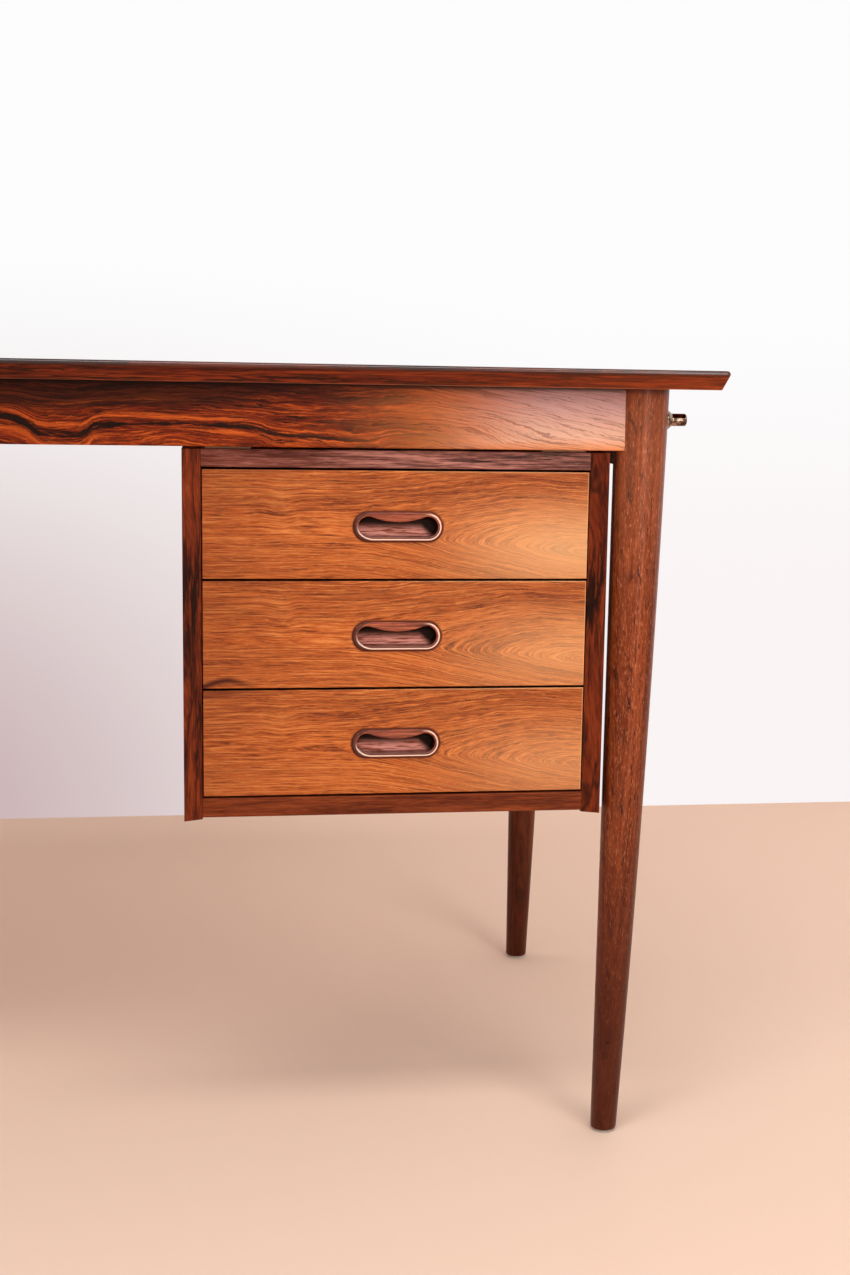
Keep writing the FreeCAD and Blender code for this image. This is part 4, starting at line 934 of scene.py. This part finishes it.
def screw_tree():
    """Countersunk screws with a turned slot, one on each point."""
    tree = bpy.data.node_groups.new("slotted_screws", "GeometryNodeTree")
    nodes = Nodes(tree)
    sockets = [("Geometry", "Geometry"), *((name, "Float") for name in SCREW_LENGTHS),
               ("Slot Seed", "Int"), ("Turn", "Vector"), ("Steel", "Material")]
    for name, kind in sockets:
        tree.interface.new_socket(name, in_out="INPUT", socket_type=f"NodeSocket{kind}")
    tree.interface.new_socket("Geometry", in_out="OUTPUT", socket_type="NodeSocketGeometry")
    outputs = nodes.node("NodeGroupInput").outputs
    given = {name: Reading(nodes, outputs[name]) for name, _ in sockets}

    head = nodes.reading("GeometryNodeMeshCone", {
        "Vertices": HEAD_SIDES, "Radius Top": given["Shank Radius"],
        "Radius Bottom": given["Head Radius"], "Depth": given["Head Height"]}, "Mesh")
    shank_length = given["Screw Length"] - given["Head Height"]
    shank = nodes.reading("GeometryNodeMeshCylinder", {
        "Vertices": SHANK_SIDES, "Radius": given["Shank Radius"], "Depth": shank_length}, "Mesh")
    lift = nodes.join(0.0, 0.0, given["Head Height"] + shank_length * 0.5)
    shank = nodes.reading("GeometryNodeTransform", {"Geometry": shank, "Translation": lift})

    slot_size = nodes.join(
        given["Head Radius"] * 2.4, given["Slot Width"], given["Slot Depth"] * 2.0)
    slot = nodes.reading("GeometryNodeMeshCube", {"Size": slot_size}, "Mesh")
    slotted = nodes.reading(
        "GeometryNodeMeshBoolean", {"Mesh 1": head, "Mesh 2": slot}, "Mesh",
        operation="DIFFERENCE", solver="EXACT")
    screw = nodes.node("GeometryNodeJoinGeometry", {"Geometry": slotted})
    nodes.feed(screw.inputs["Geometry"], shank)

    turn = nodes.node("FunctionNodeRandomValue")
    limits = {("Min", "VALUE"): 0.0, ("Max", "VALUE"): math.pi, ("Seed", "INT"): given["Slot Seed"]}
    for socket in turn.inputs:
        if (socket.name, socket.type) in limits:
            nodes.feed(socket, limits[socket.name, socket.type])
    turn = next(output for output in turn.outputs if output.enabled)
    turned = nodes.reading(
        "FunctionNodeRotateEuler",
        {"Rotation": given["Turn"], "Rotate By": nodes.join(0.0, 0.0, turn)},
        rotation_type="EULER", space="LOCAL")

    placed = nodes.reading("GeometryNodeInstanceOnPoints", {
        "Points": given["Geometry"], "Instance": screw.outputs["Geometry"], "Rotation": turned})
    real = nodes.reading("GeometryNodeRealizeInstances", {"Geometry": placed})
    steel = {"Geometry": real, "Material": given["Steel"]}
    nodes.node("NodeGroupOutput", {"Geometry": nodes.reading("GeometryNodeSetMaterial", steel)})
    return tree


def plain_mesh(thing, name):
    """The evaluated object as one plain mesh, in place of the object and its modifier."""
    evaluated = thing.evaluated_get(bpy.context.evaluated_depsgraph_get())
    mesh = bpy.data.meshes.new_from_object(evaluated)
    mesh.name = name
    bpy.data.objects.remove(thing)
    piece = bpy.data.objects.new(name, mesh)
    bpy.context.scene.collection.objects.link(piece)
    return piece


class DESK_OT_make_screws(bpy.types.Operator):
    """Make the slotted wood screws of the desk and of the leaf"""

    bl_idname = "desk.make_screws"
    bl_label = "Make Screws"

    def execute(self, context):
        sizes = context.scene.desk_sizes
        tree = screw_tree()
        values = {"Slot Seed": sizes.slot_seed, "Steel": screw_steel()}
        for name in SCREW_LENGTHS:
            values[name] = getattr(sizes, name.lower().replace(" ", "_"))
        for name, body, node, axis, highest, turn in SCREW_GROUPS:
            points = bpy.data.meshes.new(name + "_places")
            points.from_pydata(head_centres(node, axis, highest), [], [])
            thing = bpy.data.objects.new(name + "_maker", points)
            context.scene.collection.objects.link(thing)
            maker = thing.modifiers.new("Screws", "NODES")
            maker.node_group = tree
            values["Turn"] = turn
            for item in tree.interface.items_tree:
                if item.in_out == "INPUT" and item.name in values:
                    maker[item.identifier] = values[item.name]
            context.view_layer.update()
            piece = plain_mesh(thing, name)
            if len(piece.data.polygons) < FEWEST_FACES:
                raise RuntimeError(f"{name} came out empty")
            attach(piece, body)
            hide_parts(node)
        return {"FINISHED"}


def plate(name, corners, material):
    """One flat face of the stage."""
    mesh = bpy.data.meshes.new(name)
    mesh.from_pydata(corners, [], [tuple(range(len(corners)))])
    mesh.materials.append(material)
    thing = bpy.data.objects.new(name, mesh)
    bpy.context.scene.collection.objects.link(thing)


def floor_material():
    """A plain pale floor."""
    pale = tuple(bpy.context.scene.desk_stage.floor)
    return Finish("floor").shade(Base_Color=pale, Roughness=0.9, Specular_IOR_Level=0.1)


def wall_material():
    """A pale wall that shows as written to the eye and in gloss, and is clear from behind; painted
    shade darkens it towards its foot, most of all left of the desk.
    """
    stage = bpy.context.scene.desk_stage
    finish = Finish("wall")
    x, _, z = finish.parts(finish.place)
    # Painted shade: the wall grows darker towards its foot, most of all left of the desk.
    foot = z.between(0.95, 0.0) * x.between(0.95, -0.35)
    upper = finish.blend(z.between(0.9, 0.3), WALL_WHITE, tuple(stage.wall))
    shown = upper.under(foot, tuple(stage.wall_low_shade))
    glow = finish.reading("ShaderNodeEmission", {"Color": shown, "Strength": 1.0})
    paint = finish.reading("ShaderNodeBsdfDiffuse", {"Color": tuple(stage.wall)})
    path = finish.node("ShaderNodeLightPath").outputs
    seen = finish.math("MAXIMUM", path["Is Camera Ray"], path["Is Glossy Ray"])
    seen = seen.at_least(path["Is Transmission Ray"])
    front = finish.reading("ShaderNodeMixShader", {0: seen, 1: paint, 2: glow})
    clear = finish.reading("ShaderNodeBsdfTransparent")
    behind = finish.reading("ShaderNodeNewGeometry", output="Backfacing")
    return finish.surface(finish.reading("ShaderNodeMixShader", {0: behind, 1: front, 2: clear}))


def lamp(name, power, size, place, target):
    """A soft rectangular lamp that faces a point."""
    light = bpy.data.lights.new(name, "AREA")
    light.shape = "RECTANGLE"
    light.size, light.size_y = size
    light.energy = power
    thing = bpy.data.objects.new(name, light)
    thing.location = place
    thing.rotation_euler = (Vector(target) - Vector(place)).to_track_quat("-Z", "Y").to_euler()
    bpy.context.scene.collection.objects.link(thing)


def set_world(strength):
    """A white surround to the eye, white in gloss on the wall's side, and dimmer as light."""
    world = bpy.data.worlds.new("studio")
    bpy.context.scene.world = world
    world.use_nodes = True
    nodes = Nodes(world.node_tree)
    toward = nodes.parts(nodes.reading("ShaderNodeTexCoord", output="Generated"))[1]
    path = nodes.node("ShaderNodeLightPath").outputs
    glossy = nodes.math("MAXIMUM", path["Is Glossy Ray"], path["Is Transmission Ray"])
    wall_side = toward.between(-0.1, 0.5, smooth=False)
    seen = (glossy * wall_side).at_least(path["Is Camera Ray"])
    light, white = (
        nodes.reading("ShaderNodeBackground", {"Color": (1.0, 1.0, 1.0), "Strength": level})
        for level in (strength, 1.0))
    mix = nodes.reading("ShaderNodeMixShader", {0: seen, 1: light, 2: white})
    nodes.node("ShaderNodeOutputWorld", {"Surface": mix})


def add_camera(lens):
    """The camera at the photograph's place and angle."""
    yaw, pitch, roll = CAMERA_TURN
    ahead = Vector((math.sin(yaw), math.cos(yaw), 0.0))
    side = Vector((math.cos(yaw), -math.sin(yaw), 0.0))
    above = Vector((0.0, 0.0, 1.0))
    forward = ahead * math.cos(pitch) - above * math.sin(pitch)
    up = above * math.cos(pitch) + ahead * math.sin(pitch)
    right = side * math.cos(roll) + up * math.sin(roll)
    up = up * math.cos(roll) - side * math.sin(roll)
    data = bpy.data.cameras.new("view")
    data.sensor_fit = "VERTICAL"
    data.sensor_width = data.sensor_height = CAMERA_SENSOR
    data.lens = lens
    data.shift_x, data.shift_y = CAMERA_SHIFT
    camera = bpy.data.objects.new("view", data)
    turn = Matrix((right, up, -forward)).transposed()
    camera.matrix_world = Matrix.Translation(CAMERA_PLACE) @ turn.to_4x4()
    bpy.context.scene.collection.objects.link(camera)
    bpy.context.scene.camera = camera


class DESK_OT_set_stage(bpy.types.Operator):
    """Lay the floor and wall, and place the lamps and the camera"""

    bl_idname = "desk.set_stage"
    bl_label = "Set Stage"

    def execute(self, context):
        stage = context.scene.desk_stage
        context.scene.view_settings.view_transform = "Standard"
        far, back, high = STAGE_REACH, stage.wall_y, WALL_HEIGHT
        floor = [(-far, -far, 0.0), (far, -far, 0.0), (far, far, 0.0), (-far, far, 0.0)]
        plate("floor", floor, floor_material())
        wall = [(-far, back, 0.0), (far, back, 0.0), (far, back, high), (-far, back, high)]
        plate("wall", wall, wall_material())
        for name, size, place, target in LAMPS:
            lamp(name, getattr(stage, name + "_power"), size, place, target)
        set_world(stage.world_strength)
        add_camera(stage.lens)
        return {"FINISHED"}


class DESK_PT_panel(bpy.types.Panel):
    """The desk's operators and values"""

    bl_idname = "DESK_PT_panel"
    bl_label = "Extendable Desk"
    bl_space_type = "VIEW_3D"
    bl_region_type = "UI"
    bl_category = "Desk"

    def draw(self, context):
        for operator in OPERATORS:
            self.layout.operator(operator.bl_idname)
        for name, kind in GROUPS.items():
            box = self.layout.box()
            for value in kind.__annotations__:
                box.prop(getattr(context.scene, name), value)


GROUPS = {
    "desk_sizes": DeskSizes,
    "desk_woods": DeskWoodColours,
    "desk_metals": DeskMetalColours,
    "desk_stage": DeskStage,
}
OPERATORS = (
    DESK_OT_dress_top,
    DESK_OT_dress_frame,
    DESK_OT_dress_pedestals,
    DESK_OT_dress_drawers,
    DESK_OT_dress_rods,
    DESK_OT_dress_leaf,
    DESK_OT_make_screws,
    DESK_OT_set_stage,
)


def register():
    for name, group in GROUPS.items():
        bpy.utils.register_class(group)
        setattr(bpy.types.Scene, name, PointerProperty(type=group))
    for kind in (*OPERATORS, DESK_PT_panel):
        bpy.utils.register_class(kind)


def unregister():
    for kind in reversed((*OPERATORS, DESK_PT_panel)):
        bpy.utils.unregister_class(kind)
    for name, group in GROUPS.items():
        delattr(bpy.types.Scene, name)
        bpy.utils.unregister_class(group)


def main():
    """Dresses the desk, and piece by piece."""
    register()
    bpy.ops.desk.dress_top()
    bpy.ops.desk.dress_frame()
    bpy.ops.desk.dress_pedestals()
    bpy.ops.desk.dress_drawers()
    bpy.ops.desk.dress_rods()
    bpy.ops.desk.dress_leaf()
    bpy.ops.desk.make_screws()
    bpy.ops.desk.set_stage()


if __name__ == "__main__":
    main()
